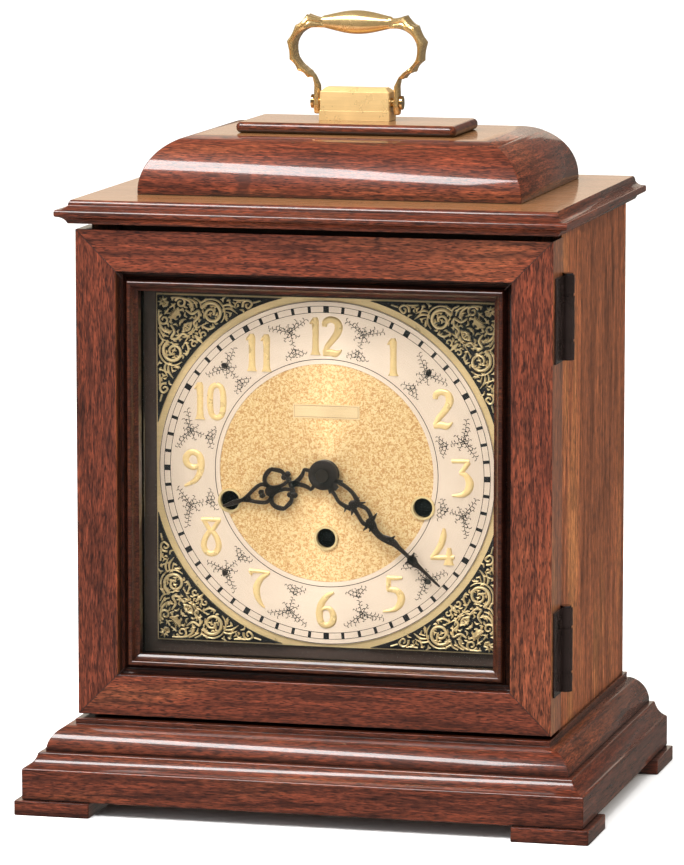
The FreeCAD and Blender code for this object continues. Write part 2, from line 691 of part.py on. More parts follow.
def bail_side(side):
    """Half of the strap: a straight arm, then a loop whose outer edge is scalloped."""
    scallops = [(21.0, 306.8), (25.4, 309.7), (29.0, 314.5), (30.2, 322.4), (26.4, 329.3),
                (21.5, 333.8)]
    scallop_radius = 12.0
    outer = [(dim.arm_outer, dim.arm_bottom), (dim.arm_outer, dim.arm_top)]
    outer += [(x, z, scallop_radius, -1) for x, z in scallops]
    overlap = 1.0
    seam = dim.grip_half - overlap
    inner = [(seam, dim.grip_axis + dim.grip_end_radius, 14.0, -1),
             (seam, dim.grip_axis - dim.grip_end_radius),
             (21.2, 327.6), (25.4, 324.8, 9.0, 1), (26.8, 317.2, 12.0, 1), (23.0, 311.2, 14.0, 1),
             (dim.arm_inner, 305.6), (dim.arm_inner, dim.arm_bottom)]
    return [(as_size(x) * side, z, *((arc[0], -arc[1] * side) if arc else ()))
            for x, z, *arc in outer + inner]


def build_bail(y):
    body = new_body("bail_casting")
    strap = sketch_on(body, "XZ_Plane", "bail_strap", dim.strap_depth * 0.5 - y)
    for side in (-1, 1):
        draw(strap, bail_side(side))
    casting = body.newObject("PartDesign::Pad", "bail_strap_pad")
    casting.Profile = strap
    casting.Reversed = True
    bind(casting, "Length", dim.strap_depth)
    grip = sketch_on(body, "XZ_Plane", "bail_grip", -y)
    bind(grip, "AttachmentOffset.Base.y", dim.grip_axis)
    hollow, swell = 24.0, 38.0
    draw(grip, [(-dim.grip_half, 0), (-dim.grip_half, dim.grip_end_radius),
                (-dim.grip_waist, dim.grip_waist_radius, hollow, -1),
                (dim.grip_waist, dim.grip_waist_radius, swell, 1),
                (dim.grip_half, dim.grip_end_radius, hollow, -1), (dim.grip_half, 0)])
    turned = body.newObject("PartDesign::Revolution", "bail_grip_turned")
    turned.Profile = grip
    turned.ReferenceAxis = (grip, ["H_Axis"])
    turned.Angle = 360
    doc.recompute()
    ends = [f"Edge{number}" for number, edge in enumerate(turned.Shape.Edges, start=1)
            if abs(edge.BoundBox.ZMin - dim.arm_bottom.value) < 1e-6
            and edge.BoundBox.ZLength < 1e-6 and edge.BoundBox.YLength < 1e-6]
    rounded = body.newObject("PartDesign::Fillet", "bail_arm_ends")
    rounded.Base = (turned, ends)
    bind(rounded, "Radius", dim.arm_round)
    bore = rod("bail_bore", "x", dim.pivot_radius + dim.pivot_clearance,
               (-dim.pivot_end, y, dim.pivot_height), dim.pivot_end * 2)
    keep(cut("handle_bail", body, bore))


# ---------------------------------------------------------------- dial

def winding_holes():
    return {"strike": (-dim.side_hole_x, dim.dial_height - dim.side_hole_drop),
            "chime": (dim.side_hole_x, dim.dial_height - dim.side_hole_drop),
            "going": (Size(0), dim.dial_height - dim.low_hole_drop)}


def dial_holes(label, radius, centre_radius=None):
    """Cutters through the dial for the winding keys, and for the hands if asked."""
    front, length = -dim.back_plane, dim.back_plane
    cutters = [rod(f"{label}_{train}_hole", "y", radius, (x, front, z), length)
               for train, (x, z) in winding_holes().items()]
    if centre_radius is not None:
        cutters.append(rod(f"{label}_hand_hole", "y", centre_radius,
                           (0, front, dim.dial_height), length))
    return cutters


def build_dial():
    z = dim.dial_height
    sleeve = dim.eyelet_radius - dim.eyelet_rim
    plate = box("dial_plate_blank", (-dim.plate_half, dim.plate_half),
                (-dim.plate_front, -dim.mat_front), (z - dim.plate_half, z + dim.plate_half))
    keep(cut("dial_plate", plate, *dial_holes("plate", sleeve, dim.dial_hole)))
    ring_start = (0, -dim.ring_front, z)
    thickness = dim.ring_front - dim.plate_front
    ring = rod("chapter_ring_blank", "y", dim.ring_outer, ring_start, thickness)
    inside = rod("chapter_ring_inside", "y", dim.ring_inner, ring_start, thickness)
    keep(cut("chapter_ring", ring, inside, *dial_holes("ring", sleeve)))
    disc = rod("dial_centre_blank", "y", dim.centre_radius, (0, -dim.centre_front, z),
               dim.centre_front - dim.plate_front)
    keep(cut("dial_centre", disc, *dial_holes("centre", sleeve, dim.dial_hole)))
    build_spandrels(z)
    build_dial_fittings(z)


def build_spandrels(z):
    depth = (-dim.spandrel_front, -dim.plate_front)
    arc = rod("spandrel_arc", "y", dim.spandrel_arc, (0, -dim.spandrel_front, z),
              dim.spandrel_front - dim.plate_front)
    corners = []
    for across in (-1, 1):
        for up in (-1, 1):
            x_span = sorted((Size(0), dim.spandrel_half * across), key=lambda size: size.value)
            z_span = sorted((z, z + dim.spandrel_half * up), key=lambda size: size.value)
            name = f"spandrel_{across + 1}_{up + 1}"
            corners.append(cut(name, box(name + "_blank", x_span, depth, z_span), arc))
    keep(group("corner_spandrels", corners))


def build_dial_fittings(z):
    grommets = []
    for train, (x, height) in winding_holes().items():
        flange = rod(f"grommet_{train}_flange", "y", dim.eyelet_radius,
                     (x, -dim.eyelet_front, height), dim.eyelet_front - dim.ring_front)
        sleeve = rod(f"grommet_{train}_sleeve", "y", dim.eyelet_radius - dim.eyelet_rim,
                     (x, -dim.eyelet_front, height), dim.eyelet_front - dim.mat_front)
        hole = rod(f"grommet_{train}_bore", "y", dim.hole_radius,
                   (x, -dim.back_plane, height), dim.back_plane)
        grommets.append(cut(f"grommet_{train}",
                            fuse(f"grommet_{train}_solid", flange, sleeve), hole))
    keep(group("winding_grommets", grommets))
    diagonal = dim.rivet_circle * math.sqrt(0.5)
    keep(group("dial_rivets", [
        rod(f"rivet_{across + 1}_{up + 1}", "y", dim.rivet_radius,
            (diagonal * across, -dim.ring_front - dim.rivet_head, z + diagonal * up),
            dim.rivet_head)
        for across in (-1, 1) for up in (-1, 1)]))
    plaque_middle = z + dim.plaque_rise
    keep(box("name_plaque", (-dim.plaque_half, dim.plaque_half),
             (-dim.centre_front - dim.plaque_thickness, -dim.centre_front),
             (plaque_middle - dim.plaque_half_height, plaque_middle + dim.plaque_half_height)))
    posts = []
    for across in (-1, 1):
        for end, height in (("low", z - dim.dial_post_low), ("high", z + dim.dial_post_high)):
            posts.append(rod(f"dial_post_{across + 1}_{end}", "y", dim.dial_post_radius,
                             (dim.dial_post_x * across, -dim.mat_front, height),
                             dim.mat_front - dim.front_plate))
    keep(group("dial_posts", posts))


# ---------------------------------------------------------------- gears

def involute(angle):
    return math.tan(angle) - angle


def gear(teeth, module_size, front, thickness, facing, gap=False):
    """A spur gear on the Y axis. A tooth, or a gap, points in the direction facing."""
    pitch = teeth * module_size / 2
    base = pitch * math.cos(PRESSURE_ANGLE)
    tip = pitch + ADDENDUM * module_size
    root = pitch - DEDENDUM * module_size
    start = max(base, root)
    half_tooth = math.pi / (2 * teeth) - BACKLASH * module_size / (2 * pitch)
    flank = [(root, half_tooth + involute(PRESSURE_ANGLE)
              - involute(math.acos(min(1.0, base / start))))]
    for step in range(FLANK_POINTS):
        radius = start + (tip - start) * step / (FLANK_POINTS - 1)
        spread = half_tooth + involute(PRESSURE_ANGLE) - involute(
            math.acos(min(1.0, base / radius)))
        flank.append((radius, spread))
    if root >= base:
        flank = flank[1:]
    turn = facing + (math.pi / teeth if gap else 0.0)
    points = []
    for tooth in range(teeth):
        middle = turn + 2 * math.pi * tooth / teeth
        for radius, spread in flank:
            points.append((radius, middle - spread))
        for radius, spread in reversed(flank):
            points.append((radius, middle + spread))
    corners = [Vector(radius * math.cos(angle), -front.value, radius * math.sin(angle))
               for radius, angle in points]
    face = Part.Face(Part.makePolygon(corners + corners[:1]))
    return face.extrude(Vector(0, thickness.value, 0))


def tube(radius, front, back):
    """A cylinder on the Y axis, from front in front of the XZ plane to back behind it."""
    start = Vector(0, -front.value, 0)
    return Part.makeCylinder(as_size(radius).value, (front + back).value, start, Vector(0, 1, 0))


def bore(radius):
    return tube(radius, dim.back_plane, dim.back_plane)


def module_for(spacing, first_teeth, second_teeth):
    return 2 * spacing / (first_teeth + second_teeth)


def computed(label, shape, x, z):
    """A toothed part: its teeth are worked out, so its shape is set directly."""
    feature = new("Part::Feature", label)
    feature.Shape = shape
    feature.Placement = Placement(Vector(x, 0, z), Rotation())
    return keep(feature)


# ---------------------------------------------------------------- movement

def build_movement_frame():
    z = dim.dial_height
    spans = {"movement_front_plate": -dim.front_plate, "movement_back_plate": dim.back_plate}
    corners = [(x, height) for x in (-dim.dial_post_x, dim.dial_post_x)
               for height in (z - dim.dial_post_low, z + dim.dial_post_high)]
    for label, y in spans.items():
        blank = box(label + "_blank", (-dim.plate_side, dim.plate_side),
                    (y, y + dim.plate_thickness), (z - dim.plate_low, z + dim.plate_high))
        pivots = [rod(f"{label}_{train}_pivot", "y", dim.winding_radius + dim.arbor_clearance,
                      (x, y, height), dim.plate_thickness)
                  for train, (x, height) in winding_holes().items()]
        pivots.append(rod(label + "_centre_pivot", "y", dim.arbor_radius + dim.arbor_clearance,
                          (0, y, z), dim.plate_thickness))
        plate = cut(label + "_bored", blank, *pivots)
        if label == "movement_front_plate":
            stud = rod("minute_wheel_stud", "y", dim.stud_radius,
                       (dim.stud_x, -dim.front_plate - dim.stud_length, z + dim.stud_x),
                       dim.stud_length)
            keep(fuse(label, plate, stud))
        else:
            plate.Label = label
            keep(plate)
    keep(group("movement_pillars", [
        rod(f"pillar_{index}", "y", dim.pillar_radius,
            (x, dim.plate_thickness - dim.front_plate, height),
            dim.front_plate + dim.back_plate - dim.plate_thickness)
        for index, (x, height) in enumerate(corners)]))
    behind = dim.back_plate + dim.plate_thickness
    keep(box("escapement_platform", (-dim.platform_half, dim.platform_half),
             (behind, behind + dim.platform_depth), (z + dim.platform_low, z + dim.platform_high)))


def going_module():
    return module_for(dim.low_hole_drop.value, GOING_BARREL_TEETH, CENTRE_PINION_LEAVES)


def build_barrels():
    """Toothed spring barrels that turn on their winding arbors."""
    side = (SIDE_BARREL_TEETH, dim.side_barrel_module.value, dim.side_drum)
    going = (GOING_BARREL_TEETH, going_module(), dim.going_drum)
    for train, (x, height) in winding_holes().items():
        teeth, module_size, drum = going if train == "going" else side
        toothed = gear(teeth, module_size, dim.barrel_wheel_front, dim.barrel_wheel_thickness,
                       math.pi / 2, gap=True)
        solid = toothed.fuse(tube(drum, dim.drum_front, -dim.drum_back))
        hole = bore(dim.winding_radius + dim.arbor_clearance)
        computed(f"{train}_barrel", solid.cut(hole), x.value, height.value)


def build_winding_arbors():
    """Arbors with a ratchet wheel and a square front end for the key."""
    shoulder = dim.front_plate + dim.shoulder
    end_play = 1.0
    back = dim.back_plate + dim.plate_thickness + end_play
    half = dim.square_half.value
    for train, (x, height) in winding_holes().items():
        square = Part.makeBox(2 * half, (dim.square_front - shoulder).value, 2 * half,
                              Vector(-half, -dim.square_front.value, -half))
        ratchet = gear(RATCHET_TEETH, dim.ratchet_module.value, shoulder - dim.ratchet_gap,
                       dim.ratchet_thickness, 0.0)
        shaft = tube(dim.winding_radius, shoulder, back)
        computed(f"{train}_winding_arbor", shaft.fuse([square, ratchet]).removeSplitter(),
                 x.value, height.value)


def build_centre_arbor(z):
    arbor = tube(dim.arbor_radius, dim.arbor_front, dim.arbor_back)
    pinion = gear(CENTRE_PINION_LEAVES, going_module(), dim.centre_pinion_front,
                  dim.centre_pinion_thickness, -math.pi / 2)
    computed("centre_arbor", arbor.fuse(pinion), 0, z)
    wheel = gear(CENTRE_WHEEL_TEETH, dim.centre_wheel_module.value, dim.centre_wheel_front,
                 dim.centre_wheel_thickness, 0.0).cut(bore(dim.arbor_radius))
    for window in range(CENTRE_WHEEL_WINDOWS):
        middle = (window + 0.5) * 2 * math.pi / CENTRE_WHEEL_WINDOWS
        opening = bore(dim.window_radius)
        opening.translate(Vector(math.cos(middle), 0, math.sin(middle)) * dim.window_circle.value)
        wheel = wheel.cut(opening)
    computed("centre_wheel", wheel, 0, z)


def build_motion_work():
    """Cannon pinion, minute wheel and hour wheel: twelve turns to one."""
    z = dim.dial_height.value
    stud = dim.stud_x.value
    towards_stud = math.pi / 4
    towards_centre = towards_stud + math.pi
    spacing = math.hypot(stud, stud)
    minute_module = module_for(spacing, CANNON_LEAVES, MINUTE_WHEEL_TEETH)
    hour_module = module_for(spacing, MINUTE_LEAVES, HOUR_WHEEL_TEETH)
    build_centre_arbor(z)

    cannon_leaves = gear(CANNON_LEAVES, minute_module, dim.cannon_leaves_front,
                         dim.cannon_leaves_thickness, towards_stud)
    cannon_back = dim.cannon_leaves_front - dim.cannon_leaves_thickness
    cannon = cannon_leaves.fuse(tube(dim.cannon_pipe, dim.cannon_front, -cannon_back))
    computed("cannon_pinion", cannon.cut(bore(dim.arbor_radius)), 0, z)

    minute_wheel = gear(MINUTE_WHEEL_TEETH, minute_module, dim.minute_wheel_front,
                        dim.minute_wheel_thickness, towards_centre, gap=True)
    leaves = gear(MINUTE_LEAVES, hour_module, dim.minute_leaves_front,
                  dim.minute_leaves_thickness, towards_centre)
    stud_bore = bore(dim.stud_radius + dim.arbor_clearance)
    computed("minute_wheel", minute_wheel.fuse(leaves).cut(stud_bore), stud, z + stud)

    hour_teeth = gear(HOUR_WHEEL_TEETH, hour_module, dim.hour_wheel_front,
                      dim.hour_wheel_thickness, towards_stud, gap=True)
    hour_back = dim.hour_wheel_front - dim.hour_wheel_thickness
    hour_wheel = hour_teeth.fuse(tube(dim.hour_pipe, dim.hour_pipe_front, -hour_back))
    computed("hour_wheel", hour_wheel.cut(bore(dim.hour_bore)), 0, z)


def hand(label, length, front, bore, angle, outline):
    """A flat hand drawn pointing up, then turned clockwise to its place."""
    body = new_body(label)
    blade = sketch_on(body, "XZ_Plane", label + "_blade", 0)
    draw(blade, [(side * width, length * at) for side, points in
                 ((1, outline), (-1, reversed(outline))) for at, width in points])
    pad(body, blade, dim.hand_thickness)
    hub = sketch_on(body, "XZ_Plane", label + "_hub", 0)
    hub_edge = hub.addGeometry(Part.Circle(Vector(), Vector(0, 0, 1), dim.hub_radius.value), False)
    bore_edge = hub.addGeometry(Part.Circle(Vector(), Vector(0, 0, 1), bore.value), False)
    for edge, radius in ((hub_edge, dim.hub_radius), (bore_edge, bore)):
        hub.addConstraint(Sketcher.Constraint("Coincident", edge, 3, -1, 1))
        number = hub.addConstraint(Sketcher.Constraint("Radius", edge, radius.value))
        bind(hub, f"Constraints[{number}]", radius)
    pad(body, hub, dim.hand_thickness)
    keep(place(body, 0, dim.hand_thickness - front, dim.dial_height,
               Rotation(Vector(0, 1, 0), angle)))


def build_hands():
    hand("minute_hand", dim.minute_length, dim.minute_hand_front, dim.cannon_pipe,
         MINUTE_HAND_ANGLE, [(0.075, 2.2), (0.2, 4.0), (0.3, 2.2), (0.45, 3.4), (0.62, 1.2),
                             (0.8, 1.9), (0.84, 0.7), (1.0, 0.3)])
    hand("hour_hand", dim.hour_length, dim.hour_hand_front, dim.hour_pipe,
         HOUR_HAND_ANGLE, [(0.11, 2.2), (0.3, 2.6), (0.5, 8.0), (0.62, 7.6), (0.72, 3.2),
                           (0.86, 1.2), (1.0, 0.5)])
    nut = rod("hand_nut_blank", "y", dim.nut_radius, (0, -dim.nut_front, dim.dial_height),
              dim.nut_thickness)
    thread = rod("hand_nut_thread", "y", dim.arbor_radius, (0, -dim.arbor_front, dim.dial_height),
                 dim.nut_thickness)
    keep(cut("hand_nut", nut, thread))


# ---------------------------------------------------------------- gong

def build_gong():
    left, right = -dim.rod_block_left, -dim.rod_block_right
    block = box("rod_block_blank", (left, right), (dim.rod_block_front, dim.rod_block_back),
                (dim.case_floor, dim.rod_block_top))
    gong_rods = []
    hammers = []
    for index in range(ROD_COUNT):
        y = dim.rod_first + dim.rod_pitch * index
        start = (right - dim.rod_embed, y, dim.rod_height)
        length = dim.rod_longest - dim.rod_shortening * index
        gong_rods.append(rod(f"gong_rod_{index}", "x", dim.rod_radius, start, length))
        hammers.append(build_hammer(index, y))
    keep(cut("chime_rod_block", block, *gong_rods))
    keep(group("chime_rods", gong_rods))
    keep(group("chime_hammers", hammers))
    back = dim.back_plate + dim.plate_thickness
    shaft = rod("hammer_shaft_bar", "y", dim.hammer_shaft_radius,
                (-dim.hammer_x, back, dim.hammer_z), dim.hammer_shaft_end - back)
    bracket = box("hammer_bracket",
                  (-dim.hammer_x - dim.bracket_half, dim.bracket_half - dim.hammer_x),
                  (back, back + dim.bracket_thickness),
                  (dim.hammer_z - dim.bracket_half,
                   dim.dial_height - dim.plate_low + dim.bracket_lap))
    keep(fuse("hammer_shaft", shaft, bracket))


def build_hammer(index, y):
    half, arm_half = dim.hammer_hub_half, dim.hammer_arm_half
    hub = rod(f"hammer_hub_{index}", "y", dim.hammer_hub_radius,
              (-dim.hammer_x, y - half, dim.hammer_z), half * 2)
    end = -dim.hammer_x - dim.hammer_reach
    arm_low = dim.hammer_z - dim.hammer_arm_drop
    arm = box(f"hammer_arm_{index}", (end, -dim.hammer_x - dim.hammer_shaft_radius),
              (y - arm_half, y + arm_half), (arm_low, arm_low + arm_half * 2))
    bottom = dim.rod_height + dim.rod_radius + dim.hammer_gap
    head = rod(f"hammer_head_{index}", "z", dim.hammer_head, (end, y, bottom),
               dim.hammer_z + dim.hammer_head_rise - bottom)
    hole = rod(f"hammer_bore_{index}", "y", dim.hammer_shaft_radius + dim.pivot_clearance,
               (-dim.hammer_x, y - half, dim.hammer_z), half * 2)
    return cut(f"hammer_{index}", fuse(f"hammer_solid_{index}", hub, arm, head), hole)


# ---------------------------------------------------------------- build and write

def check_document():
    doc.recompute()
    for thing in doc.Objects:
        if "Invalid" in thing.State or "Error" in thing.State:
            raise RuntimeError(f"{thing.Label} failed: {thing.State}")
        if thing.TypeId == "PartDesign::Pocket":
            if thing.Shape.Volume > thing.BaseFeature.Shape.Volume - 1.0:
                raise RuntimeError(f"{thing.Label} cuts nothing")
    for thing in parts:
        if thing.Shape.isNull() or not thing.Shape.isValid() or not thing.Shape.Solids:
            raise RuntimeError(f"{thing.Label} has no valid solid")


def write_parts():
    os.makedirs("parts", exist_ok=True)
    for thing in parts:
        thing.Shape.exportStep(f"parts/{thing.Label}.step")


build_base()
build_case()
build_top()
build_door()
build_hinges()
build_handle()
build_dial()
build_movement_frame()
build_barrels()
build_winding_arbors()
build_motion_work()
build_hands()
build_gong()
check_document()
write_parts()
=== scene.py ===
import math
import random

import bmesh
import bpy
from mathutils import Matrix, Vector


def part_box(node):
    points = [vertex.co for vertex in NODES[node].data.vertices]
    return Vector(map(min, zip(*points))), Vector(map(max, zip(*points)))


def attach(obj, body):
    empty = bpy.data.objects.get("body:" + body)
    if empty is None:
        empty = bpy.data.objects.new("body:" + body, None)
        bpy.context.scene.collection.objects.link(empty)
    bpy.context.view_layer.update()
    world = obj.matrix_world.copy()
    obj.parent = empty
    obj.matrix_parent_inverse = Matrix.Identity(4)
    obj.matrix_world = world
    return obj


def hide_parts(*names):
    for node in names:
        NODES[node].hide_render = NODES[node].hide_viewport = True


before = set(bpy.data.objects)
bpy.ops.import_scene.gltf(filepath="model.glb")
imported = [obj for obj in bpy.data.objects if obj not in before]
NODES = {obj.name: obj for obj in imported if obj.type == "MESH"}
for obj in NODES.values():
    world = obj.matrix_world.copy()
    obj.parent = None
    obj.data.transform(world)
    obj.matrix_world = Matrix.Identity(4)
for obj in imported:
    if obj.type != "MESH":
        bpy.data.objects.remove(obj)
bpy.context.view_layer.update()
MM = 0.001
WHITE = (1.0, 1.0, 1.0)


# ---- places taken from the frame

dial_low, dial_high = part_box("dial_plate")
DIAL_X = (dial_low.x + dial_high.x) / 2
DIAL_Z = (dial_low.z + dial_high.z) / 2
RING_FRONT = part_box("chapter_ring")[0].y
SPANDREL_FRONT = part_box("corner_spandrels")[0].y
SPANDREL_EDGE = (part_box("corner_spandrels")[1].x - DIAL_X) / MM
BAIL_LOW, BAIL_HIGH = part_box("handle_bail")
BAIL_Y = (BAIL_LOW.y + BAIL_HIGH.y) / 2


def new_object(name, data):
    """An object linked into the scene."""
    thing = bpy.data.objects.new(name, data)
    bpy.context.scene.collection.objects.link(thing)
    return thing


# ---- shader building

class Surface:
    """A material with one principled shader and short ways to add nodes to it."""

    def __init__(self, name, **sockets):
        self.material = bpy.data.materials.new(name)
        self.material.use_nodes = True
        self.nodes = self.material.node_tree.nodes
        self.links = self.material.node_tree.links
        self.shader = self.nodes["Principled BSDF"]
        for socket, value in sockets.items():
            self.shader.inputs[socket.replace("_", " ")].default_value = value
        self.place = self.add("ShaderNodeTexCoord").outputs["Object"]

    def add(self, kind, **settings):
        """A new node, with some of its settings changed."""
        node = self.nodes.new(kind)
        for name, value in settings.items():
            setattr(node, name, value)
        return node

    def feed(self, socket, value):
        """Links an output to a socket, or sets the socket to a plain value."""
        if hasattr(value, "is_output"):
            self.links.new(value, socket)
        else:
            socket.default_value = value

    def stretch(self, vector, scale, offset=(0, 0, 0)):
        """Coordinates scaled along each axis and then shifted."""
        node = self.add("ShaderNodeMapping")
        self.feed(node.inputs["Vector"], vector)
        node.inputs["Scale"].default_value = scale
        node.inputs["Location"].default_value = offset
        return node.outputs["Vector"]

    def noise(self, vector, scale=1.0, detail=3.0, roughness=0.5, distortion=0.0):
        """Grey noise that varies about 0.5."""
        node = self.add("ShaderNodeTexNoise")
        self.feed(node.inputs["Vector"], vector)
        node.inputs["Scale"].default_value = scale
        node.inputs["Detail"].default_value = detail
        node.inputs["Roughness"].default_value = roughness
        node.inputs["Distortion"].default_value = distortion
        return node.outputs["Fac"]

    def ramp(self, factor, stops):
        """Colours or grey levels, given as (position, level) along a factor."""
        node = self.add("ShaderNodeValToRGB")
        self.feed(node.inputs["Fac"], factor)
        ramp = node.color_ramp
        while len(ramp.elements) < len(stops):
            ramp.elements.new(0.5)
        for element, (position, colour) in zip(ramp.elements, stops):
            element.position = position
            shade = colour if hasattr(colour, "__len__") else (colour,) * 3
            element.color = (*shade[:3], 1.0)
        return node.outputs["Color"]

    def mix(self, factor, first, second, blend="MIX"):
        """Two colours blended by a factor."""
        node = self.add("ShaderNodeMix", data_type="RGBA", blend_type=blend)
        self.feed(node.inputs["Factor"], factor)
        colours = [socket for socket in node.inputs if socket.type == "RGBA"]
        for socket, value in zip(colours, (first, second)):
            if isinstance(value, tuple):
                value = (*value, 1.0)
            self.feed(socket, value)
        return [socket for socket in node.outputs if socket.type == "RGBA"][0]

    def math(self, operation, first, second=0.0):
        """One sum on one or two numbers."""
        node = self.add("ShaderNodeMath", operation=operation)
        self.feed(node.inputs[0], first)
        self.feed(node.inputs[1], second)
        return node.outputs[0]

    def bump(self, height, distance, strength):
        """Fine relief in the shading, with its depth in metres."""
        node = self.add("ShaderNodeBump")
        self.feed(node.inputs["Height"], height)
        node.inputs["Distance"].default_value = distance
        node.inputs["Strength"].default_value = strength
        self.links.new(node.outputs["Normal"], self.shader.inputs["Normal"])

    def set(self, name, value):
        """Links or sets one socket of the shader."""
        self.feed(self.shader.inputs[name], value)

    def parts(self, vector):
        """The X, Y and Z of a vector, by name."""
        split = self.add("ShaderNodeSeparateXYZ")
        self.feed(split.inputs[0], vector)
        return split.outputs

    def normal(self):
        """The X, Y and Z of the direction the surface faces, by name."""
        return self.parts(self.add("ShaderNodeNewGeometry").outputs["Normal"])

    def rings_about_dial(self):
        """Aims the gloss as lathe brushing does, and gives the distance from the dial's centre."""
        away = self.add("ShaderNodeVectorMath", operation="SUBTRACT")
        self.feed(away.inputs[0], self.place)
        away.inputs[1].default_value = (DIAL_X, RING_FRONT, DIAL_Z)
        self.set("Tangent", away.outputs[0])
        length = self.add("ShaderNodeVectorMath", operation="LENGTH")
        self.feed(length.inputs[0], away.outputs[0])
        return length.outputs["Value"]


# ---- materials

WOOD_PORE = (0.014, 0.004, 0.003)
WOOD_DARK = (0.035, 0.010, 0.006)
WOOD_MID = (0.104, 0.0215, 0.0088)
WOOD_LIGHT = (0.166, 0.044, 0.0165)
# Paler tan painted on level tops, standing in for the light that falls on them.
WOOD_TOP_LIT = (0.33, 0.155, 0.058)
# Warmer, lighter tint for sideways faces: painted side light, on the side boards partly their own
# warmer tone.
SIDE_LIGHT_TINT = (1.0, 1.38, 1.08)
BRASS = (0.86, 0.60, 0.27)
PALE_BRASS = (0.86, 0.66, 0.36)
STEEL = (0.52, 0.50, 0.47)

# Noise scales of the wood's patterns, along the grain and across it.
FIGURE_SCALE, STREAK_SCALE = (5, 26), (32, 520)
FLECK_SCALE, PORE_SCALE = (230, 1700), (300, 2600)
# How far the patterns move from one seed to the next.
SEED_SHIFT = (0.37, 0.61, 0.83)
# What streaks, flecks and crevices multiply the colour by, as (noise or openness, factor); the
# crevice factor is painted shade.
STREAK_SHADE = [(0.34, 0.35), (0.47, 0.82), (0.56, 1.05), (0.68, 1.45)]
FLECK_SHADE = [(0.34, 0.30), (0.46, 0.82), (0.55, 1.08), (0.68, 1.6)]
CREVICE_SHADE = [(0.40, 0.10), (0.62, 0.55), (0.90, 1.0)]
CREVICE_REACH = 0.005
# A higher power keeps the painted top light to faces that are closer to level.
TOP_LIGHT_LEVELNESS, TOP_LIGHT_STRENGTH = 24.0, 0.75
KNOT_SCALE_X, KNOT_SCALE_Z, KNOT_STRENGTH = 150, 55, 0.7
# Noise scales of metal brushing: along it, across it, and on castings with no direction.
BRUSH_ALONG, BRUSH_ACROSS, BRUSH_EVEN = 60, 1400, 700
# Noise scales of the circular brushing on the dial's centre and on the chapter ring.
CENTRE_LINES, RING_LINES = 3500.0, 5200.0


def tone(colour, factor):
    """A colour made lighter or darker."""
    return tuple(channel * factor for channel in colour)


def sideways_mask(surface):
    """1 on faces that look left or right, 0 on the others."""
    normal = surface.normal()
    return surface.math("GREATER_THAN", surface.math("ABSOLUTE", normal["X"]),
                        surface.math("ABSOLUTE", normal["Y"]))


def mitred_place(surface):
    """Object coordinates whose X and Y swap on side faces, so that grain turns the corner."""
    place = surface.parts(surface.place)
    swapped = surface.add("ShaderNodeCombineXYZ")
    for target, source in (("X", "Y"), ("Y", "X"), ("Z", "Z")):
        surface.feed(swapped.inputs[target], place[source])
    return surface.mix(sideways_mask(surface), surface.place, swapped.outputs[0])


def wood(name, grain, seed, brightness=1.0, knot=None, top_light_above=None, coat=0.8, tint=WHITE,
         mitred=False, side=1.0):
    """Lacquered cherry: broad figure, streaks, short flecks and pores along the grain axis, darkened
    in crevices as painted shade, with optional painted light on level tops and sideways faces.
    """
    surface = Surface(name, Coat_Weight=coat, Coat_Roughness=0.085, Coat_IOR=1.5,
                      Specular_IOR_Level=0.2)
    place = mitred_place(surface) if mitred else surface.place
    offset = tuple(seed * shift for shift in SEED_SHIFT)

    def grained(scales, detail, roughness, distortion):
        """Noise with one scale along the grain and another across it."""
        along, across = scales
        stretch = tuple(along if axis == grain else across for axis in "xyz")
        return surface.noise(surface.stretch(place, stretch, offset), detail=detail,
                             roughness=roughness, distortion=distortion)

    figure = grained(FIGURE_SCALE, 3, 0.55, 1.0)
    streak = grained(STREAK_SCALE, 4, 0.6, 0.3)
    fleck = grained(FLECK_SCALE, 2, 0.6, 0.3)
    pore = grained(PORE_SCALE, 1, 0.5, 0.0)
    base = surface.ramp(figure, [(0.30, tone(WOOD_MID, 0.85 * brightness)),
                                 (0.50, tone(WOOD_MID, 1.15 * brightness)),
                                 (0.70, tone(WOOD_LIGHT, brightness))])
    base = surface.mix(1.0, base, tint, "MULTIPLY")
    base = surface.mix(0.9, base, surface.ramp(streak, STREAK_SHADE), "MULTIPLY")
    base = surface.mix(0.95, base, surface.ramp(fleck, FLECK_SHADE), "MULTIPLY")
    pores = surface.math("MULTIPLY", surface.ramp(pore, [(0.57, 0.0), (0.66, 1.0)]), 0.85)
    base = surface.mix(pores, base, WOOD_PORE)
    # Painted side light: faces that look left or right are made lighter and warmer.
    if side != 1.0:
        base = surface.mix(sideways_mask(surface), base,
                           surface.mix(1.0, base, tone(SIDE_LIGHT_TINT, side), "MULTIPLY"))
    if knot:
        base = surface.mix(knot_mask(surface, knot), base, WOOD_DARK)
    # Painted shade: the colour darkens in crevices and grooves, found by ambient occlusion.
    crevice = surface.add("ShaderNodeAmbientOcclusion", samples=6)
    crevice.inputs["Distance"].default_value = CREVICE_REACH
    painted_crevice_shade = surface.ramp(crevice.outputs["AO"], CREVICE_SHADE)
    base = surface.mix(1.0, base, painted_crevice_shade, "MULTIPLY")
    # Painted light: level tops above a height turn a paler tan, as if lit from above.
    if top_light_above:
        base = surface.mix(top_light_mask(surface, top_light_above), base,
                           surface.ramp(streak, [(0.32, tone(WOOD_TOP_LIT, 0.75)), (0.68, WOOD_TOP_LIT)]))
    surface.set("Base Color", base)
    surface.set("Roughness", surface.ramp(streak, [(0.3, 0.50), (0.7, 0.36)]))
    surface.bump(surface.math("ADD", fleck, surface.math("MULTIPLY", streak, 0.7)), 0.00005, 0.5)
    return surface.material


